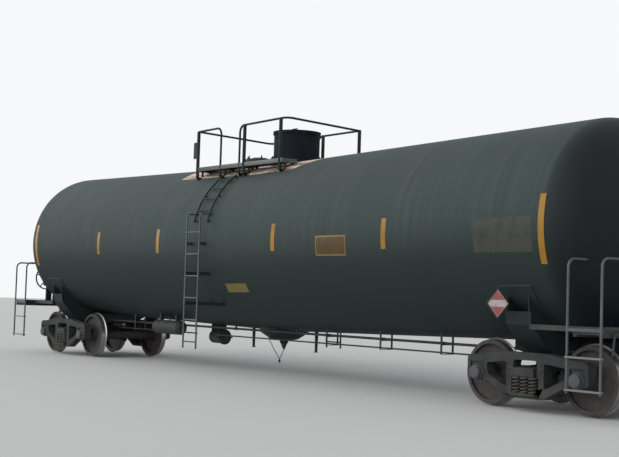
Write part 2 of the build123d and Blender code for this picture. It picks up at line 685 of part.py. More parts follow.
def stub_sill(tank):
    """Draft sill under the tank's end, open below, with the striker round the coupler."""
    half = SILL_WIDTH / 2
    inside = half - SILL_WALL
    nose = SILL_INNER_X + SILL_NOSE
    back = END_X - STRIKER_THICKNESS
    body = slab_xz([
        (SILL_INNER_X, SILL_BOTTOM + 60), (nose, SILL_BOTTOM), (back, SILL_BOTTOM), (back, SILL_TOP),
        (SILL_INNER_X, SILL_TOP),
    ], -half, half)
    butt = END_X + COUPLER_REACH - SHANK_REACH
    body -= block(butt, END_X, -inside, inside, SILL_BOTTOM - 10, COUPLER_Z + 120)
    body -= block(nose + 40, TRUCK_X - 1.7 * CENTRE_BOWL_RADIUS, -inside, inside, SILL_BOTTOM - 10, SILL_BOTTOM + 150)
    for side in (-1, 1):
        body += block(nose, back, side * (half - 1), side * (half + SILL_FLANGE), SILL_BOTTOM, SILL_BOTTOM + SILL_WALL)
        for x in (TRUCK_X + 500, TRUCK_X + 1050):
            rib = [(side * (half - 1), SILL_BOTTOM), (side * (half + SILL_FLANGE), SILL_BOTTOM),
                   (side * (half - 1), SILL_BOTTOM + 220)]
            body += slab_yz(rib, x, x + SILL_WALL)
    wide = STRIKER_WIDTH / 2
    striker = slab_yz(mirrored([
        (wide - 60, SILL_BOTTOM - STRIKER_DROP), (wide, SILL_BOTTOM + 20), (wide, SILL_TOP),
    ]), back, END_X)
    window = SHANK_WIDTH / 2 + STRIKER_DROP
    striker -= block(back - 40, END_X + 10, -window, window, COUPLER_Z - SHANK_HEIGHT / 2, COUPLER_Z + SHANK_HEIGHT / 2 + 26)
    return body + striker + centre_plate() - tank


def centre_plate():
    """Round plate under the sill that sits in the truck's centre bowl."""
    low = CENTRE_PLATE_Z - CENTRE_BOWL_DEPTH
    plate = disc(TRUCK_X, 0, low, SILL_BOTTOM, CENTRE_BOWL_RADIUS - 3)
    return plate + disc(TRUCK_X, 0, SILL_BOTTOM - SILL_WALL, SILL_BOTTOM, CENTRE_BOWL_RADIUS + 60)


def body_bolster(tank, grown, sill):
    """Saddle under the tank: cross webs on a flange, side bearings and a pad on the tank."""
    base = SILL_BOTTOM
    half = SILL_WIDTH / 2
    rim = PAD_THICKNESS + 6
    under = [(-half, base), (-620, base + 6), (-930, 862), (-SADDLE_TIP_Y + 35, 1150), (-SADDLE_TIP_Y, SADDLE_TIP_Z)]
    over = [(-SADDLE_TIP_Y + rim, SADDLE_TIP_Z), (-SADDLE_TIP_Y + 54, 1160), (-916, 880), (-614, base + 6 + rim),
            (-half, base + rim)]
    webs = slab_yz(under + over, TRUCK_X - SADDLE_HALF, TRUCK_X + SADDLE_HALF)
    for x in (TRUCK_X - SADDLE_WEB_X, TRUCK_X + SADDLE_WEB_X):
        webs += slab_yz(under + [(-SADDLE_TIP_Y, TANK_AXIS_Z), (-half, TANK_AXIS_Z)], x - SADDLE_WEB / 2, x + SADDLE_WEB / 2)
    wide = SADDLE_TIP_Y + 80
    pad = block(TRUCK_X - SADDLE_PAD, TRUCK_X + SADDLE_PAD, -wide, -half, SILL_BOTTOM, TANK_AXIS_Z) & grown
    low = BOLSTER_END_TOP + SIDE_BEARING_HEIGHT + RUNNING_GAP
    bearing_shoe = block(TRUCK_X - 110, TRUCK_X + 110, -SIDE_BEARING_Y - 70, -SIDE_BEARING_Y + 70, low, base + 10)
    lug = block(TRUCK_X + SADDLE_HALF - 30, TRUCK_X + SADDLE_HALF, -SADDLE_TIP_Y, 10 - SADDLE_TIP_Y + BRACE_WIDTH,
                PLATFORM_TOP - BRACE_DEPTH, SADDLE_TIP_Z)
    hole = pipe([(SILL_INNER_X, -AIR_PIPE_Y, AIR_PIPE_Z), (END_X, -AIR_PIPE_Y, AIR_PIPE_Z)], 2 * AIR_PIPE_RADIUS + 10)
    return both_sides(webs + pad + bearing_shoe + lug - tank - sill - hole)


def end_platform():
    """Deck across the end on two channels, braced to the bolster, with the uncoupling lever."""
    inner = END_X - PLATFORM_DEPTH
    low = PLATFORM_TOP - PLATFORM_THICKNESS
    wide = PLATFORM_HALF_WIDTH
    outer = END_X - 20
    deck = block(inner, END_X, -wide, wide, low, PLATFORM_TOP)
    for x in (inner + 20, outer - CHANNEL_WIDTH):
        deck += block(x, x + CHANNEL_WIDTH, -wide, wide, SILL_TOP, low)
    for side in (-1, 1):
        y = side * (SADDLE_TIP_Y - BRACE_WIDTH)
        deck += block(TRUCK_X + SADDLE_HALF, inner, y, y + side * BRACE_WIDTH, PLATFORM_TOP - BRACE_DEPTH, PLATFORM_TOP)
        deck += block(inner, outer, side * (wide - CHANNEL_WIDTH), side * wide, SILL_TOP + 30, low)
    x = END_X + LEVER_OUT
    hand = 0.9 * wide
    lever = pipe([
        (x + 20, -hand - 60, LEVER_Z - LEVER_HANDLE), (x, -hand, LEVER_Z), (x, -60, LEVER_Z),
        (x + 200, 20, LEVER_Z - 20),
    ], LEVER_PIPE, sides=6)
    for y in (0.86 * wide, 0.3 * wide):
        lever += block(outer - 4, x + LEVER_PIPE, -y - 10, 10 - y, LEVER_Z - 24, LEVER_Z + 24)
    return deck + lever


def end_handrail():
    """Rail across the end, its legs on the platform."""
    x = END_X - STILE_INSET
    rail = pipe([
        (x, -STEP_Y, STILE_BOTTOM), (x, -STEP_Y, STILE_TOP), (x, STEP_Y, STILE_TOP),
        (x, STEP_Y, STILE_BOTTOM),
    ], PIPE, PIPE_BEND)
    for side in (-1, 1):
        y = side * HANDRAIL_LEG_Y
        rail += pipe([(x, y, PLATFORM_TOP), (x, y, STILE_TOP)], PIPE)
    return rail


def corner_ladders(tank):
    """Inner stile and the sill steps at each corner of the end."""
    x = END_X - STILE_INSET
    inner = x - STEP_LENGTH
    side = pipe([
        (inner, -STEP_Y, STILE_BOTTOM), (inner, -STEP_Y, STILE_TOP), (inner, -0.6 * STEP_Y, STILE_TOP),
    ], PIPE, PIPE_BEND)
    half = STEP_WIDTH / 2
    for z in STEP_HEIGHTS:
        side += block(inner - 20, x + 20, -STEP_Y - half, -STEP_Y + half, z, z + STEP_THICKNESS)
    side += block(inner - 20, x + 20, -STEP_Y - 6, -PLATFORM_HALF_WIDTH, PLATFORM_TOP - 60, PLATFORM_TOP - 20)
    return both_sides(side - tank)


def hand_brake():
    """Brake wheel on its housing and post at the B end, drawn for the A end's side."""
    x = END_X - BRAKE_BACK
    y, z = BRAKE_Y, BRAKE_WHEEL_Z
    post = block(x - 30, x + 10, y - 60, y + 60, PLATFORM_TOP, z + 210)
    box = slab_xz([
        (x + 10, z - 190), (x + 50, z - 150), (x + 70, z - 60), (x + 70, z + 130), (x + 40, z + 170), (x + 10, z + 170),
    ], y - 110, y + 110)
    shaft = pipe([(x + 66, y, z), (x + 128, y, z)], 48)
    outer = BRAKE_WHEEL_RADIUS + BRAKE_WHEEL_RIM / 2
    inner = outer - BRAKE_WHEEL_RIM
    edge = BRAKE_WHEEL_RIM / 2
    rim = turned_x([(-edge, inner), (-edge, outer), (edge, outer), (edge, inner)])
    spokes = Part()
    for spoke in range(SPOKES):
        angle = pi / 2 + 2 * pi * spoke / SPOKES
        tip = (x + 112, y + BRAKE_WHEEL_RADIUS * cos(angle), z + BRAKE_WHEEL_RADIUS * sin(angle))
        spokes += pipe([(x + 112, y, z), tip], 22, sides=6)
    return post + box + shaft + spokes + Pos(x + 112, y, above_rail(z)) * rim


# Side ladders

def side_ladder(tank):
    """Ladder from step height to the tank's shoulder, stood off on brackets."""
    ladder = Part()
    half = LADDER_WIDTH / 2
    bracket = LADDER_BRACKET / 2
    heights = spread(TANK_AXIS_Z, TANK_AXIS_Z - 0.7 * TANK_RADIUS, 3)
    for side in (-1, 1):
        x = LADDER_X + side * half
        landing = tank_point(x, 0.4 * STRINGER_ANGLES[1])
        ladder += pipe([
            (x, -LADDER_Y, LADDER_BOTTOM), (x, -LADDER_Y, LADDER_HANDHOLD),
            (x, landing[1] + LADDER_Y - TANK_RADIUS, LADDER_HANDHOLD),
        ], PIPE, 0.6 * PIPE_BEND)
        for z in heights:
            ladder += block(x - 5, x + 5, -LADDER_Y, -0.6 * LADDER_Y, z - bracket, z + bracket)
    for step in range(RUNG_COUNT):
        z = TOP_RUNG_Z - step * RUNG_PITCH
        ladder += pipe([(LADDER_X - half, -LADDER_Y, z), (LADDER_X + half, -LADDER_Y, z)], RUNG, sides=6)
    return ladder - tank


def shoulder_ladder(tank):
    """Curved stringers over the tank's shoulder with their rungs, up to the top platform."""
    ladder = Part()
    half = LADDER_WIDTH / 2
    low, high = STRINGER_ANGLES
    for side in (-1, 1):
        x = LADDER_X + side * half
        route = [tank_point(x, angle, STRINGER_GAP) for angle in spread(low, high, 6)]
        ladder += pipe(route, PIPE)
        for angle in spread(low + 1, high - 1, 3):
            ladder += pipe([tank_point(x, angle, -40), tank_point(x, angle, STRINGER_GAP)], 28, sides=6)
    for angle in spread(low + 8, high - 5, 4):
        a = tank_point(LADDER_X - half, angle, STRINGER_GAP)
        b = tank_point(LADDER_X + half, angle, STRINGER_GAP)
        ladder += pipe([a, b], RUNG, sides=6)
    return ladder - tank


# Top of the tank

def top_platform(tank):
    """Two long decks beside the tank's crest, on short legs that stand on the tank."""
    outer, inner = -DECK_HALF_WIDTH, -DECK_INNER_Y
    low = DECK_Z - DECK_THICKNESS
    side = block(DECK_LEFT, DECK_RIGHT, outer, inner, low, DECK_Z)
    side += block(DECK_LEFT, DECK_RIGHT, outer - DECK_PLATE, outer, DECK_Z - DECK_EDGE, DECK_Z + 4)
    side += block(DECK_LEFT, DECK_RIGHT, inner, inner + DECK_PLATE, low - 20, DECK_Z + 4)
    half = LEG_PLATE / 2
    for x in POST_X:
        side += block(x - half, x + half, outer, inner, low - LEG_WIDTH, low)
        for y in (outer + 0.3 * (inner - outer), inner - LEG_WIDTH):
            side += block(x - half, x + half, y, y + LEG_WIDTH, DECK_Z - LEG_LENGTH, low)
    return both_sides(side - tank)


def post_foot(x):
    """Shelf welded to the tank beside the deck, with a gusset under it, for one rail post."""
    y = -DECK_HALF_WIDTH - 26
    top = DECK_Z - RAIL_FOOT
    shelf = block(x - 45, x + 45, y, y + 240, top - 14, top)
    return shelf + slab_yz([(y + 12, top - 14), (y + 120, top - 120), (y + 240, top - 120), (y + 240, top - 14)],
                           x - 7, x + 7)


def top_railing(tank):
    """Handrail round the top platform, with a ladder opening on each side."""
    y = DECK_HALF_WIDTH - RAIL_INSET
    foot = DECK_Z - RAIL_FOOT
    low = RAIL_TOP - 20
    left, near_gap, far_gap, post, right = POST_X
    rail = pipe([(left, -y, RAIL_TOP - 10), (near_gap, -y, RAIL_TOP), (near_gap, -y, foot)], RAIL_PIPE, RAIL_BEND)
    rail += pipe([(far_gap, -y, foot), (far_gap, -y, low), (right + 2 * RAIL_SHORT, -y, RAIL_TOP),
                  (right - 30, y, RAIL_TOP - 25)], RAIL_PIPE, RAIL_BEND)
    rail += pipe([(right - 30, y, RAIL_TOP - 25), (far_gap, y, low - 10), (far_gap, y, foot)], RAIL_PIPE, RAIL_BEND)
    rail += pipe([(near_gap, y, foot), (near_gap, y, low), (left - RAIL_SHORT, y, RAIL_TOP - RAIL_SAG),
                  (left, -y, RAIL_TOP - 10)], RAIL_PIPE, RAIL_BEND)
    for x, side in ((left, -1), (post, -1), (right, -1), (right - 30, 1), (post, 1), (left + 260, 1)):
        rail += pipe([(x, side * y, foot), (x, side * y, RAIL_TOP - 12)], POST_PIPE)
    feet = Part()
    for x in POST_X:
        feet += post_foot(x)
    feet += mirror(post_foot(near_gap) + post_foot(far_gap) + post_foot(post), about=Plane.XZ)
    feet += mirror(post_foot(right - 30) + post_foot(left + 260), about=Plane.XZ)
    low = DECK_Z + 0.26 * RAIL_HEIGHT
    plate = block(left - 150, left - POST_PIPE / 2 + 8, -y - 10, 10 - y, low, low + 0.44 * RAIL_HEIGHT)
    return rail + plate + feet - tank


def valve_housing(tank):
    """Round protective housing, open inside, with a foot flange, its lid's hinge and a hasp."""
    low = TANK_TOP - 0.5 * HOUSING_HEIGHT
    x, r = HOUSING_X, HOUSING_RADIUS
    shell = disc(x, 0, low, HOUSING_TOP, r) - disc(x, 0, HOUSING_FLOOR, HOUSING_TOP, r - HOUSING_WALL)
    shell += disc(x, 0, low, HOUSING_FLOOR, r + HOUSING_FOOT)
    z = HOUSING_TOP + LID_GAP
    back = r + LID_LIP + 2.4 * HINGE_PIN
    for side in (-1, 1):
        ear = x + side * 90
        shell += slab_yz([(r - 16, z - 90), (back, z - 40), (back + HINGE_PIN, z + 14), (back - HINGE_PIN, z + 14),
                          (back - 1.4 * HINGE_PIN, z - 50), (r - 16, z - 60)], ear - 9, ear + 9)
    shell += Pos(x, back, above_rail(z)) * (Rot(0, 90, 0) * Cylinder(HINGE_PIN / 2, 198))
    shell += block(x - 30, x + 30, -r - 26, 2 - r, HOUSING_TOP - 150, HOUSING_TOP - 70)
    return shell - tank


def housing_lid():
    """Domed lid with a turned-down rim, a hinge tongue and a lifting handle."""
    x, r = HOUSING_X, HOUSING_RADIUS
    inner, outer = r + LID_LIP - LID_THICKNESS, r + LID_LIP
    z = HOUSING_TOP + LID_GAP
    lid = turned_z(x, 0, [
        (0, z + 16), (0, z + 16 + LID_THICKNESS), (0.7 * r, z + 10 + LID_THICKNESS), (outer, z + LID_THICKNESS),
        (outer, z - LID_RIM), (inner, z - LID_RIM), (inner, z), (0.7 * r, z + 10),
    ])
    lid -= block(x - 2 * r, x + 2 * r, LID_OPEN_BACK * r, 2 * r, z - 2 * LID_RIM, z)
    back = r + LID_LIP + 2.4 * HINGE_PIN
    tongue = slab_yz([(r - 60, z + LID_THICKNESS - 2), (r - 60, z + LID_THICKNESS + 14), (back, z + HINGE_PIN + 4),
                      (back + HINGE_PIN + 4, z), (back, z - HINGE_PIN - 4), (outer - 2, z)], x - 75, x + 75)
    tongue -= Pos(x, back, above_rail(z)) * (Rot(0, 90, 0) * Cylinder(HINGE_PIN / 2 + 3, 198))
    y = -0.14 * r
    handle = pipe([(x - 70, y, z + 10), (x - 70, y, z + 72), (x + 70, y, z + 72), (x + 70, y, z + 10)], 18, sides=6)
    strap = block(x - 75, x + 75, -0.1 * r, r - 40, z + 14, z + 34)
    return lid + tongue + handle + strap


def valves():
    """Valves inside the housing: two liquid, one vapour and a relief valve in the middle."""
    group = Part()
    depth = HOUSING_TOP - HOUSING_FLOOR
    reach = 0.45 * HOUSING_RADIUS
    for turn in range(4):
        angle = pi / 4 + turn * pi / 2
        x, y = HOUSING_X + reach * cos(angle), reach * sin(angle)
        foot, neck, top, stem = [HOUSING_FLOOR + depth * part for part in (0, 0.36, 0.5, 0.62)]
        group += pipe([(x, y, foot), (x, y, neck)], 92)
        group += pipe([(x, y, neck), (x, y, top)], 124)
        group += pipe([(x, y, top), (x, y, stem)], 40, sides=6)
        out = (HOUSING_X + 1.7 * reach * cos(angle), 1.7 * reach * sin(angle))
        group += pipe([(x, y, foot + 0.22 * depth), (out[0], out[1], foot + 0.22 * depth)], 70)
    relief = disc(HOUSING_X, 0, HOUSING_FLOOR, HOUSING_FLOOR + 0.5 * depth, 0.12 * HOUSING_RADIUS)
    return group + relief


def manway(tank):
    """Manway nozzle on the crest of the tank, with its flange and the ears of its hinge."""
    low = TANK_TOP - 180
    r = MANWAY_RADIUS
    drum = disc(MANWAY_X, 0, low, MANWAY_TOP, r)
    drum += disc(MANWAY_X, 0, MANWAY_TOP - FLANGE_PLATE, MANWAY_TOP, r + MANWAY_FLANGE)
    x = MANWAY_X - HINGE_REACH
    z = MANWAY_TOP + COVER_THICKNESS / 2
    for side in (-1, 1):
        y = side * 56
        drum += slab_xz([(MANWAY_X - r + 10, MANWAY_TOP - 90), (MANWAY_X - r - MANWAY_FLANGE + 6, MANWAY_TOP - 2),
                         (x + 14, z + 14), (x - 14, z + 14), (x - 14, z - 16), (MANWAY_X - r + 10, MANWAY_TOP - 110)],
                        y - 9, y + 9)
    drum += Pos(x, 0, above_rail(z)) * (Rot(90, 0, 0) * Cylinder(HINGE_PIN / 2, 130))
    return drum - disc(MANWAY_X, 0, low, MANWAY_TOP, r - MANWAY_WALL) - tank


def manway_cover():
    """Domed cover with its hinge tongue, and eyebolts round its rim."""
    r = MANWAY_RADIUS + MANWAY_FLANGE - 4
    low = MANWAY_TOP + 1
    high = low + COVER_THICKNESS
    cover = turned_z(MANWAY_X, 0, [
        (0, low), (r, low), (r, high), (0.78 * r, high), (0.5 * r, high + 0.8 * COVER_DOME), (0, high + COVER_DOME),
    ])
    x = MANWAY_X - HINGE_REACH
    z = MANWAY_TOP + COVER_THICKNESS / 2
    tongue = slab_xz([(MANWAY_X - r + 20, low), (MANWAY_X - r + 20, high), (x + 6, z + 17), (x - 14, z + 10),
                      (x - 18, z - 4), (x - 4, z - 17), (x + 20, low)], -40, 40)
    tongue -= Pos(x, 0, above_rail(z)) * (Rot(90, 0, 0) * Cylinder(HINGE_PIN / 2 + 3, 130))
    cover += tongue
    for bolt in range(EYEBOLTS):
        angle = 2 * pi * (bolt + 0.5) / EYEBOLTS
        bx, by = MANWAY_X + 0.9 * r * cos(angle), 0.9 * r * sin(angle)
        cover += pipe([(bx, by, high - 4), (bx, by, high + 62)], 26, sides=6)
        cover += pipe([(bx, by, high), (bx, by, high + 22)], 48, sides=6)
    return cover


def bottom_outlet(tank):
    """Sump, valve body with its operating arm, and a cap, under the middle of the tank."""
    low = OUTLET_BOTTOM + 60
    sump = disc(0, 0, OUTLET_TOP - 80, OUTLET_TOP + 80, OUTLET_SUMP)
    body = turned_z(0, 0, [
        (0, OUTLET_BOTTOM), (OUTLET_RADIUS - 40, OUTLET_BOTTOM), (OUTLET_RADIUS - 40, low),
        (OUTLET_RADIUS, low), (OUTLET_RADIUS, OUTLET_TOP - 80), (0, OUTLET_TOP - 80),
    ])
    cap = disc(0, 0, CAP_BOTTOM, OUTLET_BOTTOM, CAP_RADIUS)
    spike = pipe([(0, 0, SPIKE_BOTTOM), (0, 0, CAP_BOTTOM)], 44, sides=6)
    arm = pipe([(0, -OUTLET_RADIUS + 10, low + 30), (0, -OUTLET_RADIUS - 90, low + 30)], 36, sides=6)
    arm += block(-14, 120, -OUTLET_RADIUS - 96, -OUTLET_RADIUS - 84, low + 12, low + 48)
    return sump + body + cap + spike + arm - tank


def outlet_guards(tank):
    """Posts fore and aft of the outlet, which guard it."""
    guard = Part()
    for side in (-1, 1):
        x = side * GUARD_X
        top = TANK_AXIS_Z - 0.87 * TANK_RADIUS
        guard += slab_xz([(x - side * 30, GUARD_BOTTOM), (x + side * 30, GUARD_BOTTOM),
                          (x + side * 60, top), (x - side * 40, top)], -45, 45)
        guard += block(x - 60, x + 60, -70, 70, GUARD_BOTTOM, GUARD_BOTTOM + 20)
    return guard - tank


def brake_reservoir(tank):
    """Air reservoir with domed ends, strapped under the B end half."""
    x0, x1 = RESERVOIR_X
    y, z, radius = RESERVOIR_Y, RESERVOIR_Z, RESERVOIR_RADIUS
    dome = 0.43 * radius
    shell = turned_x([
        (x0, 0), (x0, radius * 0.5), (x0 + dome, radius), (x1 - dome, radius), (x1, radius * 0.5), (x1, 0),
    ])
    shell = Pos(0, y, above_rail(z)) * shell
    for x in (x0 + 200, x1 - 200):
        shell += block(x - 20, x + 20, y - 40, y + 40, z + 0.6 * radius, z + 3.6 * radius)
    return shell - tank


def brake_cylinder(tank):
    """Brake cylinder on its bracket, with the live lever it pushes."""
    x0, x1 = CYLINDER_X
    z, radius = CYLINDER_Z, CYLINDER_RADIUS
    shell = turned_x([
        (x0, 0), (x0, 0.6 * radius), (x0 + 20, radius), (x1 - 30, radius), (x1 - 30, radius + 20),
        (x1, radius + 20), (x1, 40), (x1 + LEVER_LENGTH * 0.4, 40), (x1 + LEVER_LENGTH * 0.4, 0),
    ])
    shell = Pos(0, 0, above_rail(z)) * shell
    for x in (x0 + 60, x1 - 100):
        shell += block(x - 12, x + 12, -0.7 * radius, 0.7 * radius, z + radius / 2, z + 4 * radius)
    lever = block(x1 + 140, x1 + 180, -0.85 * LEVER_LENGTH, 0.15 * LEVER_LENGTH, z - 12, z + 12)
    return shell + lever - tank


def brake_rods():
    """Pull rods from the brake lever to the trucks."""
    start = CYLINDER_X[1] + 160
    back = CYLINDER_X[0] - 150
    end = SILL_INNER_X - ROD_INSET
    near = pipe([(start, -ROD_Y, ROD_Z), (end, -ROD_Y, ROD_Z)], 2 * ROD_RADIUS)
    return near + pipe([(back, -ROD_Y, ROD_Z), (-end, -ROD_Y, ROD_Z)], 2 * ROD_RADIUS)


def brake_pipe(tank):
    """Air pipe along the car under the tank, hung on straps, an angle cock at each end."""
    y, z = -AIR_PIPE_Y, AIR_PIPE_Z
    reach = END_X + 60
    line = pipe([(-reach, y, z), (reach, y, z)], 2 * AIR_PIPE_RADIUS)
    for side in (-1, 1):
        line += pipe([(side * reach, y, z), (side * (reach + 90), y, z)], 64)
        line += pipe([(side * (reach + 70), y, z + 10), (side * (reach + 130), y, z - 80)], 56)
    half = HANGER / 2
    top = TANK_AXIS_Z - 0.68 * TANK_RADIUS
    last = SILL_INNER_X - HANGER_INSET
    places = [GUARD_X] + [last - i * HANGER_PITCH for i in range(HANGERS)]
    for x in places + [-x for x in places]:
        line += block(x - half, x + half, y - half, y + half, z, top)
    return line - tank


tank = tank_solid()
grown = tank_solid(PAD_THICKNESS)

pieces = {"tank_shell": tank}

for end, sign in (("a", 1), ("b", -1)):
    turn = Pos(sign * TRUCK_X, 0, 0) * Rot(0, 0, 0 if sign > 0 else 180)
    frames, cups, adapters = Part(), Part(), Part()
    for side in (-1, 1):
        frames += side_frame(side)
        for axle_x in (-WHEELBASE / 2, WHEELBASE / 2):
            cups += bearing(axle_x, side * FRAME_Y)
            adapters += bearing_adapter(axle_x, side * FRAME_Y)
    pieces[f"side_frames_{end}"] = turn * frames
    pieces[f"truck_bolster_{end}"] = turn * truck_bolster()
    pieces[f"truck_springs_{end}"] = turn * spring_group()
    pieces[f"bearings_{end}"] = turn * cups
    pieces[f"bearing_adapters_{end}"] = turn * adapters
    pieces[f"brake_beams_{end}"] = turn * brake_beams()
    for number, axle_x in (("1", WHEELBASE / 2), ("2", -WHEELBASE / 2)):
        wheels, axle = wheelset(axle_x)
        pieces[f"wheels_{end}{number}"] = turn * wheels
        pieces[f"axle_{end}{number}"] = turn * axle

sill = stub_sill(tank)
handrail = end_handrail()
ends = {
    "stub_sill": sill,
    "body_bolster": body_bolster(tank, grown, sill),
    "coupler": coupler_head(),
    "knuckle": knuckle(),
    "end_platform": end_platform(),
    "end_handrail": handrail,
    "corner_ladders": corner_ladders(tank) - handrail,
}
for name, part in ends.items():
    for end, placed in both_ends(part).items():
        pieces[f"{name}_{end}"] = placed

pieces["hand_brake"] = both_ends(hand_brake())["b"]
ladder = side_ladder(tank) + shoulder_ladder(tank)
pieces["side_ladder_near"] = ladder
pieces["side_ladder_far"] = mirror(ladder, about=Plane.XZ)
railing = top_railing(tank)
pieces["top_platform"] = top_platform(tank) - railing
pieces["top_railing"] = railing
pieces["valve_housing"] = valve_housing(tank)
pieces["housing_lid"] = housing_lid()
pieces["valves"] = valves()
pieces["manway_nozzle"] = manway(tank)
pieces["manway_cover"] = manway_cover()
pieces["bottom_outlet"] = bottom_outlet(tank)
pieces["outlet_guards"] = outlet_guards(tank)
pieces["brake_reservoir"] = brake_reservoir(tank)
pieces["brake_cylinder"] = brake_cylinder(tank)
pieces["brake_rods"] = brake_rods()
pieces["brake_pipe"] = brake_pipe(tank)

os.makedirs("parts", exist_ok=True)
for name, part in pieces.items():
    export_step(part, f"parts/{name}.step")
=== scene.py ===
# %% [markdown]
# # A railway tank car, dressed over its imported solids
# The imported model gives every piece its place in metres. This file keeps those places, gives each
# solid its paint, steel or rust, and stands rounder or finer surfaces in for the plain ones.

# %% The frame
import json
import bmesh
import bpy
import numpy as np
from mathutils import Matrix, Vector
from mathutils.bvhtree import BVHTree


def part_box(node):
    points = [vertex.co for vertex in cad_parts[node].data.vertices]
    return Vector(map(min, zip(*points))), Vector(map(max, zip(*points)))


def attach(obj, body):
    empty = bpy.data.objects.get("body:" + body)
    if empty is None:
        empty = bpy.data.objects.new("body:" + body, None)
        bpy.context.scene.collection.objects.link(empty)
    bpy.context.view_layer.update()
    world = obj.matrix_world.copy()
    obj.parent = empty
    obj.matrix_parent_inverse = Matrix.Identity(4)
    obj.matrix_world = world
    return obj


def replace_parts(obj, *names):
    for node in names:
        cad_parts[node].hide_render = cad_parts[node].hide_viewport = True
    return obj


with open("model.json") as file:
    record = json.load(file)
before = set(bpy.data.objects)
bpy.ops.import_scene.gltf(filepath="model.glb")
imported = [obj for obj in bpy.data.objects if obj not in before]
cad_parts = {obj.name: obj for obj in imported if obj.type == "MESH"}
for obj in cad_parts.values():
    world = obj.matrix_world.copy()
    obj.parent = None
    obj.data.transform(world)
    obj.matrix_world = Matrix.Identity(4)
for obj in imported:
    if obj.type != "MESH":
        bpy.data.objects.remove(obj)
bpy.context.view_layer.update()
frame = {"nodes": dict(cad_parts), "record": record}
nodes = frame["nodes"]

# %% [markdown]
# ## Numbers as shader nodes
# A finish is mostly arithmetic on coordinates: how high, how far along, how near an edge. Wiring each
# sum by hand hides it. Wrapping a socket in a small class lets the sum be written as Python, and each
# operator adds the Math node that it stands for.

# %% A socket that can be added and multiplied
class Wire:
    """One output socket. Arithmetic on it adds Math nodes to its finish."""

    def __init__(self, finish, socket):
        self.finish, self.socket = finish, socket

    def maths(self, operation, *values):
        """One Math node on some values."""
        return self.finish.node("ShaderNodeMath", {"operation": operation}, dict(enumerate(values)))

    def __add__(self, other): return self.maths("ADD", self, other)
    def __radd__(self, other): return self.maths("ADD", other, self)
    def __sub__(self, other): return self.maths("SUBTRACT", self, other)
    def __rsub__(self, other): return self.maths("SUBTRACT", other, self)
    def __mul__(self, other): return self.maths("MULTIPLY", self, other)
    def __rmul__(self, other): return self.maths("MULTIPLY", other, self)
    def __truediv__(self, other): return self.maths("DIVIDE", self, other)
    def __pow__(self, other): return self.maths("POWER", self, other)
    def __abs__(self): return self.maths("ABSOLUTE", self)

    def wrap(self, period):
        """Distance to the nearest multiple of a period."""
        return abs(self.maths("PINGPONG", self, period / 2))

    def step(self, low, high, first, last):
        """The first number below low, the last above high, and 3t^2 - 2t^3 of the way in between."""
        settings = {"interpolation_type": "SMOOTHSTEP", "clamp": True}
        inputs = {0: self, 1: low, 2: high, 3: first, 4: last}
        return self.finish.node("ShaderNodeMapRange", settings, inputs)

    def rise(self, low, high):
        """0 below low, 1 above high."""
        return self.step(low, high, 0.0, 1.0)

    def fall(self, low, high):
        """1 below low, 0 above high."""
        return self.step(low, high, 1.0, 0.0)


# %% A finish: one material and the nodes in it
class Finish:
    """A material whose Principled shader is fed by wires and plain numbers."""

    def __init__(self, name, **constants):
        self.material = bpy.data.materials.new(name)
        self.material.use_nodes = True
        self.tree = self.material.node_tree
        self.shader = self.tree.nodes["Principled BSDF"]
        place = self.tree.nodes.new("ShaderNodeTexCoord")
        self.place = Wire(self, place.outputs["Object"])
        split = self.tree.nodes.new("ShaderNodeSeparateXYZ")
        self.tree.links.new(self.place.socket, split.inputs[0])
        self.x, self.y, self.z = (Wire(self, split.outputs[i]) for i in range(3))
        for socket, value in constants.items():
            self.shader.inputs[socket.replace("_", " ").title().replace("Ior", "IOR")].default_value = value

    def node(self, kind, settings, inputs, output=0):
        """Any node: its settings first, then the value or wire of each socket."""
        new = self.tree.nodes.new(kind)
        for key, value in settings.items():
            setattr(new, key, value)
        for key, value in inputs.items():
            if isinstance(value, Wire):
                self.tree.links.new(value.socket, new.inputs[key])
            else:
                new.inputs[key].default_value = value
        return Wire(self, new.outputs[output])

    def colour(self, first, second, share):
        """Colour that goes from the first to the second by a share."""
        ends = [c if isinstance(c, Wire) else (*c, 1.0) for c in (first, second)]
        return self.node("ShaderNodeMix", {"data_type": "RGBA"}, {0: share, 6: ends[0], 7: ends[1]}, 2)

    def stretched(self, scale):
        """Object coordinates multiplied by a different number along each axis."""
        return self.node("ShaderNodeMapping", {}, {"Vector": self.place, "Scale": scale})

    def noise(self, scale, detail, roughness=0.55, place=None):
        """Cloudy noise round 0.5, so many blotches to the metre."""
        inputs = {"Vector": place or self.place, "Scale": scale, "Detail": detail, "Roughness": roughness}
        return self.node("ShaderNodeTexNoise", {}, inputs)

    def feed(self, socket, wire):
        """Joins a wire to a socket of the shader."""
        self.tree.links.new(wire.socket, self.shader.inputs[socket])
        return self

    def bump(self, height, strength, distance):
        """Tilts the surface's normal by the slope of a height."""
        inputs = {"Height": height, "Strength": strength, "Distance": distance}
        return self.feed("Normal", self.node("ShaderNodeBump", {}, inputs))


# %% [markdown]
# ## Surfaces from arrays
# Pipe, spring, tank and tape are all the same idea: rows of points that are joined into quads. Numpy
# works out every point at once, which is quicker and easier to read than moving vertices one by one.

# %% Grids of points, joined into meshes
def grid_faces(rows, columns, wrap_rows, wrap_columns):
    """Quads that join a grid of points to its neighbours, as rows of four numbers."""
    last_row, last_column = rows - (not wrap_rows), columns - (not wrap_columns)
    i, j = np.meshgrid(np.arange(last_row), np.arange(last_column), indexing="ij")
    a, b = i * columns, (i + 1) % rows * columns
    right = (j + 1) % columns
    return np.stack([a + j, b + j, b + right, a + right], axis=-1).reshape(-1, 4)


def placed(name, data):
    """New object for a mesh, lamp or camera, linked into the scene."""
    thing = bpy.data.objects.new(name, data)
    bpy.context.collection.objects.link(thing)
    return thing


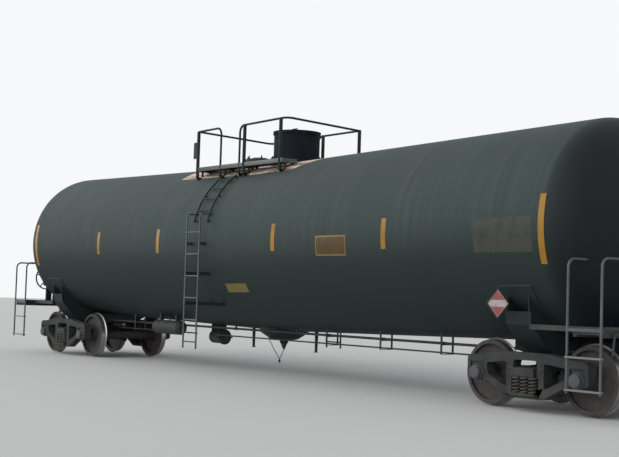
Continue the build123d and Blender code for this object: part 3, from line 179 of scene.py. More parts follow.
def stand(thing, x, y, z, place):
    """Sets an object's three axes and its place, which are the columns of its matrix."""
    matrix = np.eye(4)
    matrix[:3] = np.stack([x, y, z, place], axis=1)
    thing.matrix_world = Matrix(matrix.tolist())


class Shape:
    """Points and faces that end up in one mesh."""

    def __init__(self):
        self.points, self.faces, self.count = [], [], 0

    def grid(self, points, wrap_rows=False, wrap_columns=False, caps=False, flip=False):
        """Adds a grid of shape (rows, columns, 3). A closed one is turned so that its volume is positive.

        Volume = the sum of a . (b x c) / 6 over its triangles, measured from the middle of the points.
        """
        rows, columns = points.shape[:2]
        quads = grid_faces(rows, columns, wrap_rows, wrap_columns)
        ends = []
        if caps:
            ring = np.arange(columns)
            ends = [ring, ring[::-1] + (rows - 1) * columns]
        if caps or (wrap_rows and wrap_columns):
            flat = points.reshape(-1, 3) - points.reshape(-1, 3).mean(axis=0)
            fans = [np.stack([np.full(columns - 2, end[0]), end[1:-1], end[2:]], axis=1) for end in ends]
            triangles = np.concatenate([quads[:, :3], quads[:, [0, 2, 3]]] + fans)
            a, b, c = (flat[triangles[:, k]] for k in range(3))
            flip = (a * np.cross(b, c)).sum() < 0
        faces = quads.tolist() + [end.tolist() for end in ends]
        self.faces += [[v + self.count for v in (face[::-1] if flip else face)] for face in faces]
        self.points.append(points.reshape(-1, 3))
        self.count += rows * columns
        return self

    def mesh(self, name, finish):
        """Mesh of the points and faces, in one finish."""
        mesh = bpy.data.meshes.new(name)
        mesh.from_pydata(np.concatenate(self.points).tolist(), [], self.faces)
        mesh.update()
        mesh.materials.append(finish.material)
        return mesh

    def object(self, name, body, finish, slot=None, smooth=40):
        """Makes the mesh, smooth but for edges sharper than an angle, and sets it on its body."""
        mesh = self.mesh(name, finish)
        mesh.shade_smooth()
        mesh.set_sharp_from_angle(angle=np.radians(smooth))
        piece = placed(name, mesh)
        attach(piece, body)
        print(name, len(mesh.polygons), "faces")
        return piece


def unit(vectors):
    """Each vector divided by its own length."""
    return vectors / np.linalg.norm(vectors, axis=-1, keepdims=True)


# %% A tube along a path
def tube(shape, path, radius, sides=14):
    """Circle carried along a path: point = path + r (n cos t + b sin t), n and b square to the path."""
    path = np.asarray(path, float)
    along = unit(np.gradient(path, axis=0))
    choices = unit(np.array([[1, 1, 1], [1, -1, 1], [-1, 1, 1], [0.2, 0.5, -1], [1, 0.3, -0.2]]))
    best = choices[np.argmin(np.abs(along @ choices.T).max(axis=0))]
    n = unit(best - (along @ best)[:, None] * along)
    b = np.cross(along, n)
    t = np.linspace(0, 2 * np.pi, sides, endpoint=False)
    radii = np.broadcast_to(np.asarray(radius, float), (len(path),))[:, None, None]
    ring = n[:, None] * np.cos(t)[None, :, None] + b[:, None] * np.sin(t)[None, :, None]
    return shape.grid(path[:, None] + radii * ring, wrap_columns=True, caps=True)


def bent(points, bend, steps=7):
    """Route of straight legs whose corners are arcs of one radius.

    An arc's centre is on the corner's bisector, at the radius / sin of half the corner's angle.
    """
    points = np.asarray(points, float)
    before, corner, after = points[:-2], points[1:-1], points[2:]
    back, ahead = unit(before - corner), unit(after - corner)
    half = np.arccos(np.clip((back * ahead).sum(-1, keepdims=True), -1, 1)) / 2
    centre = corner + unit(back + ahead) * bend / np.sin(half)
    start, end = (corner + leg * bend / np.tan(half) - centre for leg in (back, ahead))
    share = np.linspace(0, 1, steps)[None, :, None]
    arcs = centre[:, None] + bend * unit(start[:, None] * (1 - share) + end[:, None] * share)
    return np.concatenate([points[:1], arcs.reshape(-1, 3), points[-1:]])


def turned(shape, profile, centre, axis, sides):
    """Profile of (distance along the axis, radius) points carried round the axis."""
    axis = unit(np.asarray(axis, float))
    across = np.array([0, 0, 1.0]) if abs(axis[2]) < 0.9 else np.array([1.0, 0, 0])
    n = unit(np.cross(across, axis))
    b = np.cross(axis, n)
    profile = np.asarray(profile, float)
    t = np.linspace(0, 2 * np.pi, sides, endpoint=False)
    ring = n * np.cos(t)[:, None] + b * np.sin(t)[:, None]
    points = np.asarray(centre, float) + profile[:, :1, None] * axis + profile[:, 1:, None] * ring[None]
    return shape.grid(points, wrap_columns=True, caps=True)


def prism(shape, loop, shift):
    """Flat loop of points and the same loop moved by a shift, joined by flat sides."""
    loop = np.asarray(loop, float)
    return shape.grid(np.stack([loop, loop + shift]), wrap_columns=True, caps=True)


def block(shape, low, high):
    """Box between two opposite corners."""
    (x0, y0, z0), (x1, y1, z1) = low, high
    return prism(shape, [(x0, y0, z0), (x1, y0, z0), (x1, y1, z0), (x0, y1, z0)], (0, 0, z1 - z0))


def bolt(shape, place, axis, size=0.024, height=0.014):
    """Hexagon head on a round washer, standing along an axis."""
    turned(shape, [(-0.004, 0.62 * size), (0.003, 0.62 * size)], place, axis, 16)
    turned(shape, [(0.002, size / 2), (height - 0.002, size / 2), (height, 0.42 * size)], place, axis, 6)


# %% [markdown]
# ## The viewpoint
# The photograph was taken from low down, beside the car's nearer end, so the tank runs away to the
# left. The lens is long, 70 mm, and the far end looks little more than half as tall as the near one.

# %% Camera
eye = np.array([17.9006, -13.4104, 1.4545])
yaw, pitch, roll = 0.9097, 0.0570, 0.0314
ahead = np.array([-np.sin(yaw) * np.cos(pitch), np.cos(yaw) * np.cos(pitch), np.sin(pitch)])
level = np.array([np.cos(yaw), np.sin(yaw), 0])
upward = np.cross(level, ahead)
right = level * np.cos(roll) + upward * np.sin(roll)
top = upward * np.cos(roll) - level * np.sin(roll)
focal_pixels, frame_pixels, sensor = 1203.55, 619, 36.0
lens = bpy.data.cameras.new("camera")
lens.sensor_width, lens.lens = sensor, sensor * focal_pixels / frame_pixels
lens.clip_end = 400
camera = placed("camera", lens)
stand(camera, right, top, -ahead, eye)
bpy.context.scene.camera = camera
print("lens", round(lens.lens, 1), "mm")

# %% [markdown]
# ## Floor and light
# A plain pale floor and an even pale surround give the light of a dull day. What the camera sees of
# them is nearly white, and what lights the car is softer, so black paint stays black. A far lamp from
# the upper left, as wide as a bank of cloud, gives the tank its long sheen, and a second one lights its
# side.

# %% Floor
floor_finish = Finish("floor", base_color=(0.62, 0.62, 0.60, 1), roughness=0.9)
edges = np.array([-150.0, 150.0])
fx, fy = np.meshgrid(edges, edges, indexing="ij")
floor_shape = Shape().grid(np.stack([fx, fy, np.zeros_like(fx)], axis=-1), flip=True)
floor = placed("floor", floor_shape.mesh("floor", floor_finish))

# %% Surround and lamps
world = bpy.data.worlds.new("surround")
bpy.context.scene.world = world
world.use_nodes = True
tree = world.node_tree
sky = tree.nodes["Background"]
sky.inputs["Color"].default_value = (0.50, 0.53, 0.56, 1)
sky.inputs["Strength"].default_value = 0.75
shown = tree.nodes.new("ShaderNodeBackground")
shown.inputs["Color"].default_value = (0.93, 0.94, 0.95, 1)
rays = tree.nodes.new("ShaderNodeLightPath")
choose = tree.nodes.new("ShaderNodeMixShader")
total = rays.outputs["Is Camera Ray"]
for kind in ("Is Glossy Ray", "Is Transmission Ray"):
    most = tree.nodes.new("ShaderNodeMath")
    most.operation = "MAXIMUM"
    tree.links.new(total, most.inputs[0])
    tree.links.new(rays.outputs[kind], most.inputs[1])
    total = most.outputs[0]
tree.links.new(total, choose.inputs[0])
tree.links.new(sky.outputs[0], choose.inputs[1])
tree.links.new(shown.outputs[0], choose.inputs[2])
tree.links.new(choose.outputs[0], tree.nodes["World Output"].inputs["Surface"])


def lamp(name, place, power):
    """Far lamp as wide as a bank of cloud, which shines from a place towards the origin."""
    data = bpy.data.lights.new(name, "SUN")
    data.energy, data.angle = power, np.radians(60)
    z = unit(np.asarray(place, float))
    x = unit(np.cross([0, 0, 1.0], z))
    stand(placed(name, data), x, np.cross(z, x), z, place)


lamp("upper left", (-22, -12, 14), 1.3)
lamp("fill", (10, -30, 12), 1.5)
bpy.context.scene.view_settings.view_transform = "Standard"

# %% [markdown]
# ## Tank paint
# Satin black over steel plate, years old: chalky and a little green where the sun reaches it, with a
# painted sheen there too, and smoother and blacker under the belly, where the darker colour is painted
# shade. The heads are painted nearly black, as shade. Rain has drawn thin streaks down the sides. On top,
# round the fittings, the plate is a scuffed pinkish tan, in one long rectangle whose edges are still
# crisp, with brown runs where product was spilt. Under the manway's cover a black disc is painted on the
# skin as shade, as the inside of a tank looks from above.

# %% Black tank paint
# The radius, the height of the axis at the middle, and what the axis climbs in a metre from there.
tank_radius, axis_z, slope = 1.545, 2.361, 0.0192
tank_paint = Finish("tank black", specular_ior_level=0.18)
f = tank_paint
height = (f.z - axis_z - slope * abs(f.x)) / tank_radius
head = abs(f.x).rise(7.40, 7.75)
# Chalk and a painted sheen on the upper half, but not on the heads; the belly below keeps the darker colour
# as painted shade.
chalk_and_sheen = height.rise(-0.3, 0.2) * (1 - height.rise(0.3, 0.9) * 0.3) * (1 - head)
blotch = f.noise(0.7, 5).rise(0.3, 0.75)
streak = f.noise(1.0, 6, 0.65, f.stretched((9.0, 0.5, 0.5))).rise(0.42, 0.72)
grain = f.noise(60.0, 3)
base = f.colour((0.018, 0.028, 0.028), (0.040, 0.056, 0.055), chalk_and_sheen * 0.85 + blotch * chalk_and_sheen * 0.15)
# Painted shade: the heads are made nearly black.
base = f.colour(base, (0.007, 0.011, 0.014), head)
base = f.colour(base, (0.075, 0.092, 0.086), streak * chalk_and_sheen * 0.30)
dark_run = f.noise(1.0, 5, 0.6, f.stretched((14.0, 0.35, 0.35))).rise(0.56, 0.75)
base = f.colour(base, (0.010, 0.014, 0.014), dark_run * 0.5)
plate_length = 2.49
seam = f.x.wrap(plate_length)
base = f.colour(base, (0.06, 0.062, 0.052), seam.fall(0.004, 0.05) * chalk_and_sheen * 0.3)
specks = f.noise(26.0, 4, 0.6).rise(0.70, 0.76) * f.noise(1.3, 3).rise(0.5, 0.7)
base = f.colour(base, (0.10, 0.045, 0.022), specks * 0.7)

# %% The tan patch round the fittings
manway_x, upper_half = -0.96, f.z.rise(3.2, 3.5)
wander = (f.noise(3.0, 5) - 0.5) * 0.05
spill = (f.x + wander).rise(-2.42, -2.37) * (f.x + abs(f.y) * 0.75 + wander).fall(1.86, 1.92)
spill = spill * (abs(f.y) + wander).fall(0.845, 0.865) * upper_half
tan = f.colour((0.55, 0.44, 0.35), (0.76, 0.65, 0.56), f.noise(4.0, 6).rise(0.35, 0.65))
brown = f.noise(1.0, 6, 0.7, f.stretched((1.3, 8.0, 8.0))).rise(0.46, 0.54)
brown = brown * f.noise(1.4, 3).rise(0.30, 0.48)
tan = f.colour(tan, (0.20, 0.115, 0.065), brown * 0.8)
tan = f.colour(tan, (0.09, 0.075, 0.065), f.noise(8.0, 6, 0.7).rise(0.58, 0.72) * 0.4)
crust = f.noise(9.0, 6, 0.7).rise(0.15, 0.45)
base = f.colour(base, tan, spill * (0.78 + crust * 0.22))
drip = f.noise(1.0, 5, 0.6, f.stretched((16.0, 0.8, 0.8))).rise(0.55, 0.72)
drip = drip * (f.x.rise(-2.5, -2.2) * f.x.fall(1.0, 1.4)) * f.z.rise(2.6, 3.7) * (1 - spill)
base = f.colour(base, (0.115, 0.095, 0.075), drip * 0.4)
past_manway = f.x - manway_x
# Painted shade: a black disc inside the manway's nozzle stands for the dark opening. The disc's two bounds
# are the squares of 0.230 and 0.237 m.
mouth_shade = (past_manway * past_manway + f.y * f.y).fall(0.053, 0.056) * upper_half
base = f.colour(base, (0.003, 0.003, 0.003), mouth_shade)
f.feed("Base Color", base)
f.feed("Roughness", 0.56 + chalk_and_sheen * 0.14 + spill * 0.2 + grain * 0.06)
weld = seam.fall(0.006, 0.016)
f.bump(f.noise(1.2, 3) * 0.7 + grain * 0.03 + weld * 0.25 + spill * crust * 0.4, 0.35, 0.004)
print("tank black", len(f.tree.nodes), "nodes")

# %% [markdown]
# ## Worn paint and bare iron
# The other finishes share one pattern: a ground colour with blotches, dust that settles low down, rust
# that breaks through in patches, and a fine grain to bump. One function makes them, each with its own
# colours and amounts.

# %% Paint or metal with rust and dust
dust = (0.075, 0.070, 0.060)


def worn(name, ground, second, rust, rust_share=0.5, dust_height=1.3, roughness=0.6, metallic=0.0,
         bump=0.35, grain_size=90.0):
    """Two ground colours in blotches, rust where noise is high, and dust that fades out with height."""
    f = Finish(name, metallic=metallic)
    base = f.colour(ground, second, f.noise(3.0, 5).rise(0.3, 0.7))
    patches = f.noise(11.0, 7, 0.65)
    share = patches.rise(0.66 - 0.2 * rust_share, 0.80 - 0.2 * rust_share) * rust_share
    base = f.colour(base, rust, share)
    powder = f.z.fall(0.1, dust_height) * f.noise(6.0, 6).rise(0.3, 0.75)
    base = f.colour(base, dust, powder * 0.55)
    grain = f.noise(grain_size, 3)
    f.feed("Base Color", base)
    f.feed("Roughness", roughness + share * 0.25 + powder * 0.2 + grain * 0.08)
    if metallic:
        f.feed("Metallic", metallic - share * metallic)
    return f.bump(grain * 0.3 + patches * 0.5 + share * 0.5, bump, 0.0015)


frame_paint = worn("frame black", (0.016, 0.020, 0.021), (0.034, 0.038, 0.037), (0.060, 0.038, 0.026), 0.45)
rail_paint = worn("rail black", (0.008, 0.020, 0.018), (0.016, 0.030, 0.027), (0.07, 0.045, 0.03),
                  0.3, 0.9, 0.5)
grab_paint = worn("worn grab iron", (0.050, 0.058, 0.060), (0.085, 0.094, 0.095), (0.09, 0.06, 0.045),
                  0.4, 0.9, 0.5)
tread_steel = worn("worn tread", (0.13, 0.145, 0.145), (0.20, 0.215, 0.21), (0.12, 0.08, 0.06),
                   0.5, 0.9, 0.5)
housing_paint = worn("housing black", (0.004, 0.008, 0.013), (0.011, 0.016, 0.022), (0.030, 0.024, 0.020),
                     0.3, roughness=0.75)
cast_iron = worn("cast steel", (0.020, 0.022, 0.025), (0.040, 0.042, 0.044), (0.060, 0.040, 0.030),
                 0.55, 0.95, 0.7, bump=0.6, grain_size=150.0)
spring_steel = worn("spring steel", (0.035, 0.032, 0.030), (0.060, 0.050, 0.044), (0.10, 0.055, 0.035),
                    0.7, 0.6, 0.65)
bearing_steel = worn("bearing steel", (0.055, 0.057, 0.062), (0.085, 0.086, 0.090), (0.09, 0.06, 0.045),
                     0.4, 0.9, 0.5, 0.4)
valve_steel = worn("valve steel", (0.42, 0.42, 0.41), (0.33, 0.33, 0.32), (0.2, 0.15, 0.1),
                   0.25, 0.5, 0.32, 0.9)
for finish, level in ((housing_paint, 0.15), (rail_paint, 0.15), (frame_paint, 0.3), (cast_iron, 0.3)):
    finish.shader.inputs["Specular IOR Level"].default_value = level

# %% [markdown]
# ## Walkways
# The decks are steel grating: bars on edge every 30 mm, joined by a cross bar every 100 mm. From a few
# metres away it reads as a fine dark comb, so the comb is drawn on the upper face only, as dark slots of
# painted shade where the openings are, with bright bars between them. The top deck's toe plate was once
# grey and is scuffed at its left end, and its lower part is painted darker, as shade.

# %% Grating on the upper face, toe plates at the sides
deck_z, end_deck_z, bar_pitch, cross_pitch = 3.878, 1.191, 0.03, 0.1


def grating(name, level, ground, second, toe=False):
    """Slots of painted shade where both x and y are away from a bar, on faces above a level."""
    f = Finish(name, specular_ior_level=0.35)
    base = f.colour(ground, second, f.noise(4.0, 5).rise(0.3, 0.7))
    if toe:
        plate = abs(f.y).rise(0.9245, 0.9255)
        kept = (f.x + f.noise(1.5, 4) * 1.2).rise(-1.3, 0.9)
        grey = f.colour((0.050, 0.058, 0.056), (0.150, 0.165, 0.158), kept)
        # Painted shade: the toe plate darkens towards its bottom edge.
        grey = f.colour(grey, (0.028, 0.034, 0.033), f.z.fall(level - 0.065, level - 0.010) * 0.6)
        base = f.colour(base, grey, plate)
        run = f.noise(1.0, 5, 0.6, f.stretched((30.0, 2.0, 2.0))).rise(0.58, 0.7)
        base = f.colour(base, (0.07, 0.05, 0.036), run * 0.6)
    rust = f.noise(10.0, 6, 0.65).rise(0.55, 0.7)
    base = f.colour(base, (0.085, 0.048, 0.028), rust * 0.5)
    # Painted shade: the grating's openings are dark slots on its solid upper face.
    slot = f.x.wrap(cross_pitch).rise(0.005, 0.008) * f.y.wrap(bar_pitch).rise(0.003, 0.005)
    slot = slot * f.z.rise(level - 0.002, level - 0.001)
    base = f.colour(base, (0.006, 0.006, 0.006), slot * 0.9)
    f.feed("Base Color", base).feed("Roughness", 0.55 + rust * 0.2 + slot * 0.2)
    return f.bump(f.noise(90.0, 3) * 0.3 - slot * 2.0, 0.5, 0.003)


top_deck = grating("top deck", deck_z, (0.045, 0.046, 0.044), (0.085, 0.082, 0.075), toe=True)
end_deck = grating("end deck", end_deck_z, (0.020, 0.024, 0.025), (0.040, 0.043, 0.042))

# %% [markdown]
# ## Wheel steel
# A wheel is rusty all over except where it rolls: the tread and the flange's throat are rubbed bright.
# The distance from the axle, worked out from the coordinates, tells the two apart.

# %% Rolled tread and rusty plate
truck_x, half_wheelbase, axle_z = 6.87, 0.889, 0.483
wheel_steel = Finish("wheel steel")
f = wheel_steel
patches = f.noise(9.0, 6, 0.65)
base = f.colour((0.026, 0.025, 0.027), (0.060, 0.046, 0.040), patches.rise(0.3, 0.7))
grease = abs(f.y).rise(0.80, 0.84) * 0.5
base = f.colour(base, (0.014, 0.014, 0.015), grease * f.noise(4.0, 4).rise(0.4, 0.7))
base = f.colour(base, (0.066, 0.070, 0.078), abs(f.y).rise(0.95, 0.96))
to_axle = [((abs(f.x) - axle_x) ** 2.0 + (f.z - axle_z) ** 2.0) ** 0.5
           for axle_x in (truck_x - half_wheelbase, truck_x + half_wheelbase)]
radius = f.node("ShaderNodeMath", {"operation": "MINIMUM"}, dict(enumerate(to_axle)))
tread = radius.rise(0.449, 0.4525) * abs(f.y).rise(0.685, 0.70) * abs(f.y).fall(0.80, 0.818)
base = f.colour(base, (0.40, 0.39, 0.38), tread * 0.9)
f.feed("Base Color", base).feed("Metallic", tread * 0.9)
f.feed("Roughness", 0.72 - tread * 0.42 + patches * 0.08)
f.bump(patches * 0.5 + f.noise(120.0, 3) * 0.4, 0.35, 0.0012)

# %% [markdown]
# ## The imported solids
# The solids already have the right shapes, but their edges are knife sharp and their round faces are
# flat strips. A copy of each one is welded, its flat faces are joined up, and a narrow bevel breaks
# its edges, which is what makes a casting or a plate look like one. The copy then stands for the solid.

# %% Which finish goes with which slot
finishes = {
    "tank_paint": tank_paint, "frame_paint": frame_paint, "rail_paint": rail_paint,
    "housing_paint": housing_paint, "cast_iron": cast_iron, "wheel_steel": wheel_steel,
    "spring_steel": spring_steel, "bearing_steel": bearing_steel, "valve_steel": valve_steel,
}
slots = {part["node"]: part["material_slot"] for part in frame["record"]["subparts"]}
bodies = {node: body for body, names in frame["record"]["behaviour"]["bodies"].items() for node in names}
for name, node in nodes.items():
    node.data.materials.clear()
    node.data.materials.append(finishes[slots[name]].material)
print(len(slots), "packed pieces painted in", len(set(slots.values())), "finishes")

# %% A copy with eased edges
sharp = np.radians(28)
car_ends = (("a", 1), ("b", -1))


def eased(node, width, finish=None):
    """Welds a copy of a solid, joins its flat faces, and bevels what is still an edge."""
    name = f"{node}_eased"
    mesh = nodes[node].data.copy()
    mesh.name = name
    b = bmesh.new()
    b.from_mesh(mesh)
    bmesh.ops.remove_doubles(b, verts=b.verts, dist=0.00005)
    bmesh.ops.dissolve_limit(b, angle_limit=np.radians(0.5), verts=b.verts, edges=b.edges)
    b.to_mesh(mesh)
    b.free()
    mesh.shade_smooth()
    mesh.set_sharp_from_angle(angle=sharp)
    piece = placed(name, mesh)
    if finish:
        mesh.materials.clear()
        mesh.materials.append(finish.material)
    bevel = piece.modifiers.new("edges", "BEVEL")
    bevel.width, bevel.segments = width, 2
    bevel.limit_method, bevel.angle_limit = "ANGLE", sharp
    bevel.harden_normals = True
    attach(piece, bodies[node])
    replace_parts(piece, node)
    print(name, len(mesh.polygons), "faces")


for end, _ in car_ends:
    for kind, width in (("side_frames", 0.007), ("truck_bolster", 0.006), ("brake_beams", 0.003),
                        ("coupler", 0.008), ("knuckle", 0.008), ("bearing_adapters", 0.002),
                        ("bearings", 0.002), ("stub_sill", 0.002), ("body_bolster", 0.002)):
        eased(f"{kind}_{end}", width)
    eased(f"end_platform_{end}", 0.002, end_deck)
    for number in "12":
        eased(f"wheels_{end}{number}", 0.003)
        eased(f"axle_{end}{number}", 0.002)
for node in ("valve_housing", "housing_lid", "valves", "bottom_outlet", "brake_reservoir", "brake_cylinder",
             "hand_brake"):
    eased(node, 0.0015)
for node in ("manway_nozzle", "manway_cover"):
    eased(node, 0.0015, frame_paint)
eased("top_platform", 0.0012, top_deck)

# %% [markdown]
# ## The tank
# Two long cylinders meet in a mitre at the middle and rise towards the ends, so that the last of the
# load runs to the outlet. Each end is a dished head: a shallow dome with a tight knuckle. One profile is
# carried round each half's own sloping axis.

# %% Tank skin
def tank_half(sign, columns=160):
    """Radius as a function of the distance along a sloping axis, carried round that axis."""
    side, length, tilt, rings = tank_radius - 0.0002, 7.470, np.radians(1.1), 30
    crown, knuckle = 1.8 * tank_radius, 0.346 * tank_radius
    centre = side - knuckle
    crown_x = length - np.sqrt((crown - knuckle) ** 2 - centre ** 2)
    turn = np.arctan2(centre, length - crown_x)
    bend = np.linspace(np.pi / 2, turn, 15)
    dome = np.linspace(turn, 0.004, 15)[1:]
    along = np.concatenate([np.linspace(0, length, rings)[:-1], length + knuckle * np.cos(bend),
                            crown_x + crown * np.cos(dome)])
    radius = np.concatenate([np.full(rings - 1, side), centre + knuckle * np.sin(bend),
                             crown * np.sin(dome)])
    t = np.linspace(0, 2 * np.pi, columns, endpoint=False)
    y = radius[:, None] * np.cos(t)
    across = radius[:, None] * np.sin(t)
    start = np.where(np.arange(len(along)) == 0, 1.0, 0.0)[:, None]
    u = along[:, None] * (1 - start) - start * across * np.tan(tilt)
    x = u * np.cos(tilt) - across * np.sin(tilt)
    z = u * np.sin(tilt) + across * np.cos(tilt)
    x = np.where(start > 0, 0.0, x)
    return np.stack([sign * x, y, z + axis_z], axis=-1)


skin = Shape()
skin.grid(np.concatenate([tank_half(-1)[::-1], tank_half(1)[1:]]), wrap_columns=True, caps=True)
tank = skin.object("tank_skin", "car_body", tank_paint, "tank_paint", smooth=30)
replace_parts(tank, "tank_shell")

# %% [markdown]
# ## Pipes that are round
# Ladders, handrails and the air line are steel pipe and bar. In the solids they have eight flat sides
# and mitred corners, which keeps them light. Here the same routes are swept with a circle, and their
# corners are true bends.

# %% Top railing
rail_z, rail_y, foot_z = 4.591, 0.919, deck_z - 0.186
left, near_gap, far_gap, post, right_post, far_right = -1.735, -0.95, -0.33, -0.18, 0.93, 0.90
railing = Shape()
for points in (
    [(left, -rail_y, rail_z - 0.01), (near_gap, -rail_y, rail_z), (near_gap, -rail_y, foot_z)],
    [(far_gap, -rail_y, foot_z), (far_gap, -rail_y, rail_z - 0.02), (right_post + 0.18, -rail_y, rail_z),
     (far_right, rail_y, rail_z - 0.025)],
    [(far_right, rail_y, rail_z - 0.025), (far_gap, rail_y, rail_z - 0.03), (far_gap, rail_y, foot_z)],
    [(near_gap, rail_y, foot_z), (near_gap, rail_y, rail_z - 0.02), (left - 0.09, rail_y, rail_z - 0.055),
     (left, -rail_y, rail_z - 0.01)],
):
    tube(railing, bent(points, 0.13, 9), 0.0199)
near_posts, far_posts = (left, post, right_post), (left + 0.26, post, far_right)
for places, side in ((near_posts, -1), (far_posts, 1)):
    for x in places:
        tube(railing, [(x, side * rail_y, foot_z), (x, side * rail_y, rail_z - 0.012)], 0.033)
    for x in places + (near_gap, far_gap):
        block(railing, (x - 0.045, side * 0.951, foot_z - 0.014), (x + 0.045, side * 0.711, foot_z))
        gusset = [(x - 0.007, side * y, foot_z - down) for y, down in
                  ((0.939, 0.014), (0.831, 0.12), (0.711, 0.12), (0.711, 0.014))]
        prism(railing, gusset, (0.014, 0, 0))
block(railing, (left - 0.15, -rail_y - 0.01, deck_z + 0.1854),
      (left - 0.025, 0.01 - rail_y, deck_z + 0.4991))
rails = railing.object("top_railing_pipes", "car_body", rail_paint, "rail_paint")
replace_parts(rails, "top_railing")

# %% End handrails and corner ladders
step_x, step_y, low_z, high_z = 8.47, 1.51, 0.356, 2.046
inner, corner_bend, bar_radius = step_x - 0.53, 0.11, 0.017
for end, sign in car_ends:
    turn = np.array([sign, sign, 1.0])
    shape = Shape()
    route = [(step_x, y, z) for y, z in
             ((-step_y, low_z), (-step_y, high_z), (step_y, high_z), (step_y, low_z))]
    tube(shape, bent(route, corner_bend) * turn, bar_radius)
    for y in (-0.62, 0.62):
        tube(shape, np.array([(step_x, y, end_deck_z), (step_x, y, high_z)]) * turn, bar_radius)
    handrail = shape.object(f"end_handrail_pipes_{end}", "car_body", grab_paint, "rail_paint")
    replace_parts(handrail, f"end_handrail_{end}")
    shape, treads = Shape(), Shape()
    for side in (-1, 1):
        route = [(inner, side * y, z) for y, z in ((step_y, low_z), (step_y, high_z), (0.99, high_z))]
        tube(shape, bent(route, corner_bend) * turn, bar_radius)
        for low, high in ((0.386, 0.410), (0.796, 0.820)):
            corners = np.array([(inner - 0.02, -step_y - 0.026, low),
                                (step_x + 0.02, -step_y + 0.026, high)])
            block(treads, *corners * [1, -side, 1] * turn)
        corners = np.array([(inner - 0.02, 1.480, 1.131), (step_x + 0.02, 1.516, 1.171)])
        block(shape, *corners * [1, side, 1] * turn)
    ladder = shape.object(f"corner_ladder_pipes_{end}", "car_body", grab_paint, "rail_paint")
    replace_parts(ladder, f"corner_ladders_{end}")
    steps = treads.object(f"corner_steps_{end}", "car_body", tread_steel, "rail_paint")
    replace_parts(steps, f"corner_ladders_{end}")

# %% Side ladders
def side_y(x, z):
    """How far out the tank's side is at a height: the half width of its circle there."""
    return np.sqrt(tank_radius ** 2 - (z - axis_z - slope * abs(x)) ** 2)


def tank_point(x, angle, out):
    """Point off the tank's near side: y = -(R + out) cos a, and z = the axis + (R + out) sin a."""
    reach, a = tank_radius + np.asarray(out), np.radians(np.asarray(angle, float))
    x = np.broadcast_to(x, a.shape)
    return np.stack([x, -reach * np.cos(a), axis_z + slope * np.abs(x) + reach * np.sin(a)], axis=-1)


ladder_x, half, ladder_y, ladder_top = -0.61, 0.215, 1.68, 2.906
curved_x, stand_off = 0.03, 0.05
bar_places = (ladder_x - half, ladder_x + half)
for name, side in (("near", 1), ("far", -1)):
    curved, upright, ties = Shape(), Shape(), Shape()
    flip = np.array([1, side, 1.0])
    for x in bar_places:
        route = [(x, -ladder_y, 0.466), (x, -ladder_y, ladder_top), (x, -1.44, ladder_top)]
        tube(upright, bent(route, 0.066) * flip, bar_radius)
        tube(curved, tank_point(x + curved_x, np.linspace(14, 54, 24), stand_off) * flip, bar_radius)
        for a in (15.0, 34.0, 53.0):
            tube(curved, tank_point(x + curved_x, [a, a], [-0.02, stand_off]) * flip, 0.014)
        for z in (2.361, 1.82, 1.279):
            corners = np.array([(x - 0.005, -ladder_y, z - 0.03),
                                (x + 0.005, 0.02 - side_y(x, z), z + 0.03)])
            block(ties, *corners * flip)
    for step in range(6):
        rung = [(x, -ladder_y, 2.566 - 0.396 * step) for x in bar_places]
        tube(upright, np.array(rung) * flip, 0.013)
    for a in np.linspace(22, 49, 4):
        rung = [tank_point(x + curved_x, [a], stand_off) for x in bar_places]
        tube(curved, np.concatenate(rung) * flip, 0.012)
    # The curved top takes the dark rail paint, partly as the bars' own paint and partly as painted shade
    # for the shadow lines they cast on the tank; the upright bars take the lighter grab paint.
    for shape, part, finish, slot in ((curved, "top", rail_paint, "rail_paint"),
                                      (upright, "bars", grab_paint, "rail_paint"),
                                      (ties, "ties", tank_paint, "tank_paint")):
        piece = shape.object(f"side_ladder_{part}_{name}", "car_body", finish, slot)
        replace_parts(piece, f"side_ladder_{name}")

# %% [markdown]
# ## Springs
# Each truck carries the car on twelve coil springs, six to a side frame. A coil is a helix whose pitch
# closes up at both ends, where the bar is ground flat against its seat.

# %% Coil springs
def coil(shape, x, y, low, high, radius, wire, turns, sides):
    """Helix: x and y go round by the angle, and z climbs with it, but for half a turn at each end."""
    t = np.linspace(0, 1, int(turns * 14) + 1)
    climb = np.clip((t * turns - 0.5) / (turns - 1.0), 0, 1)
    z = low + wire + (high - low - 2 * wire) * climb
    a = 2 * np.pi * turns * t
    path = np.stack([x + radius * np.cos(a), y + radius * np.sin(a), z], axis=-1)
    n = np.stack([np.cos(a), np.sin(a), np.zeros_like(a)], axis=-1)
    along = unit(np.gradient(path, axis=0))
    b = np.cross(along, n)
    s = np.linspace(0, 2 * np.pi, sides, endpoint=False)
    ring = n[:, None] * np.cos(s)[None, :, None] + b[:, None] * np.sin(s)[None, :, None]
    shape.grid(path[:, None] + wire * ring, wrap_columns=True, caps=True)


frame_y, pitch, spring_foot, spring_head = 1.003, 0.144, 0.248, 0.484
for end, sign in car_ends:
    shape = Shape()
    for side in (-1, 1):
        for row in (-1, 0, 1):
            for rank in (-1, 1):
                x, y = sign * truck_x + row * pitch, side * frame_y + rank * pitch / 2
                for radius, wire, turns, sides in ((0.0535, 0.0135, 5.6, 8), (0.028, 0.008, 8.0, 6)):
                    coil(shape, x, y, spring_foot, spring_head, radius, wire, turns, sides)
    springs = shape.object(f"coil_springs_{end}", f"truck_{end}", spring_steel, "spring_steel", smooth=60)
    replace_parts(springs, f"truck_springs_{end}")

# %% [markdown]
# ## Reflective tape and blank plates
# Six upright bars of yellow tape mark each side, taller at the ends of the car. They are patches of the
# tank's own cylinder, lifted by a millimetre or two, so that light runs over tape and paint alike. The
# boards beside them are bare panels in the same places.

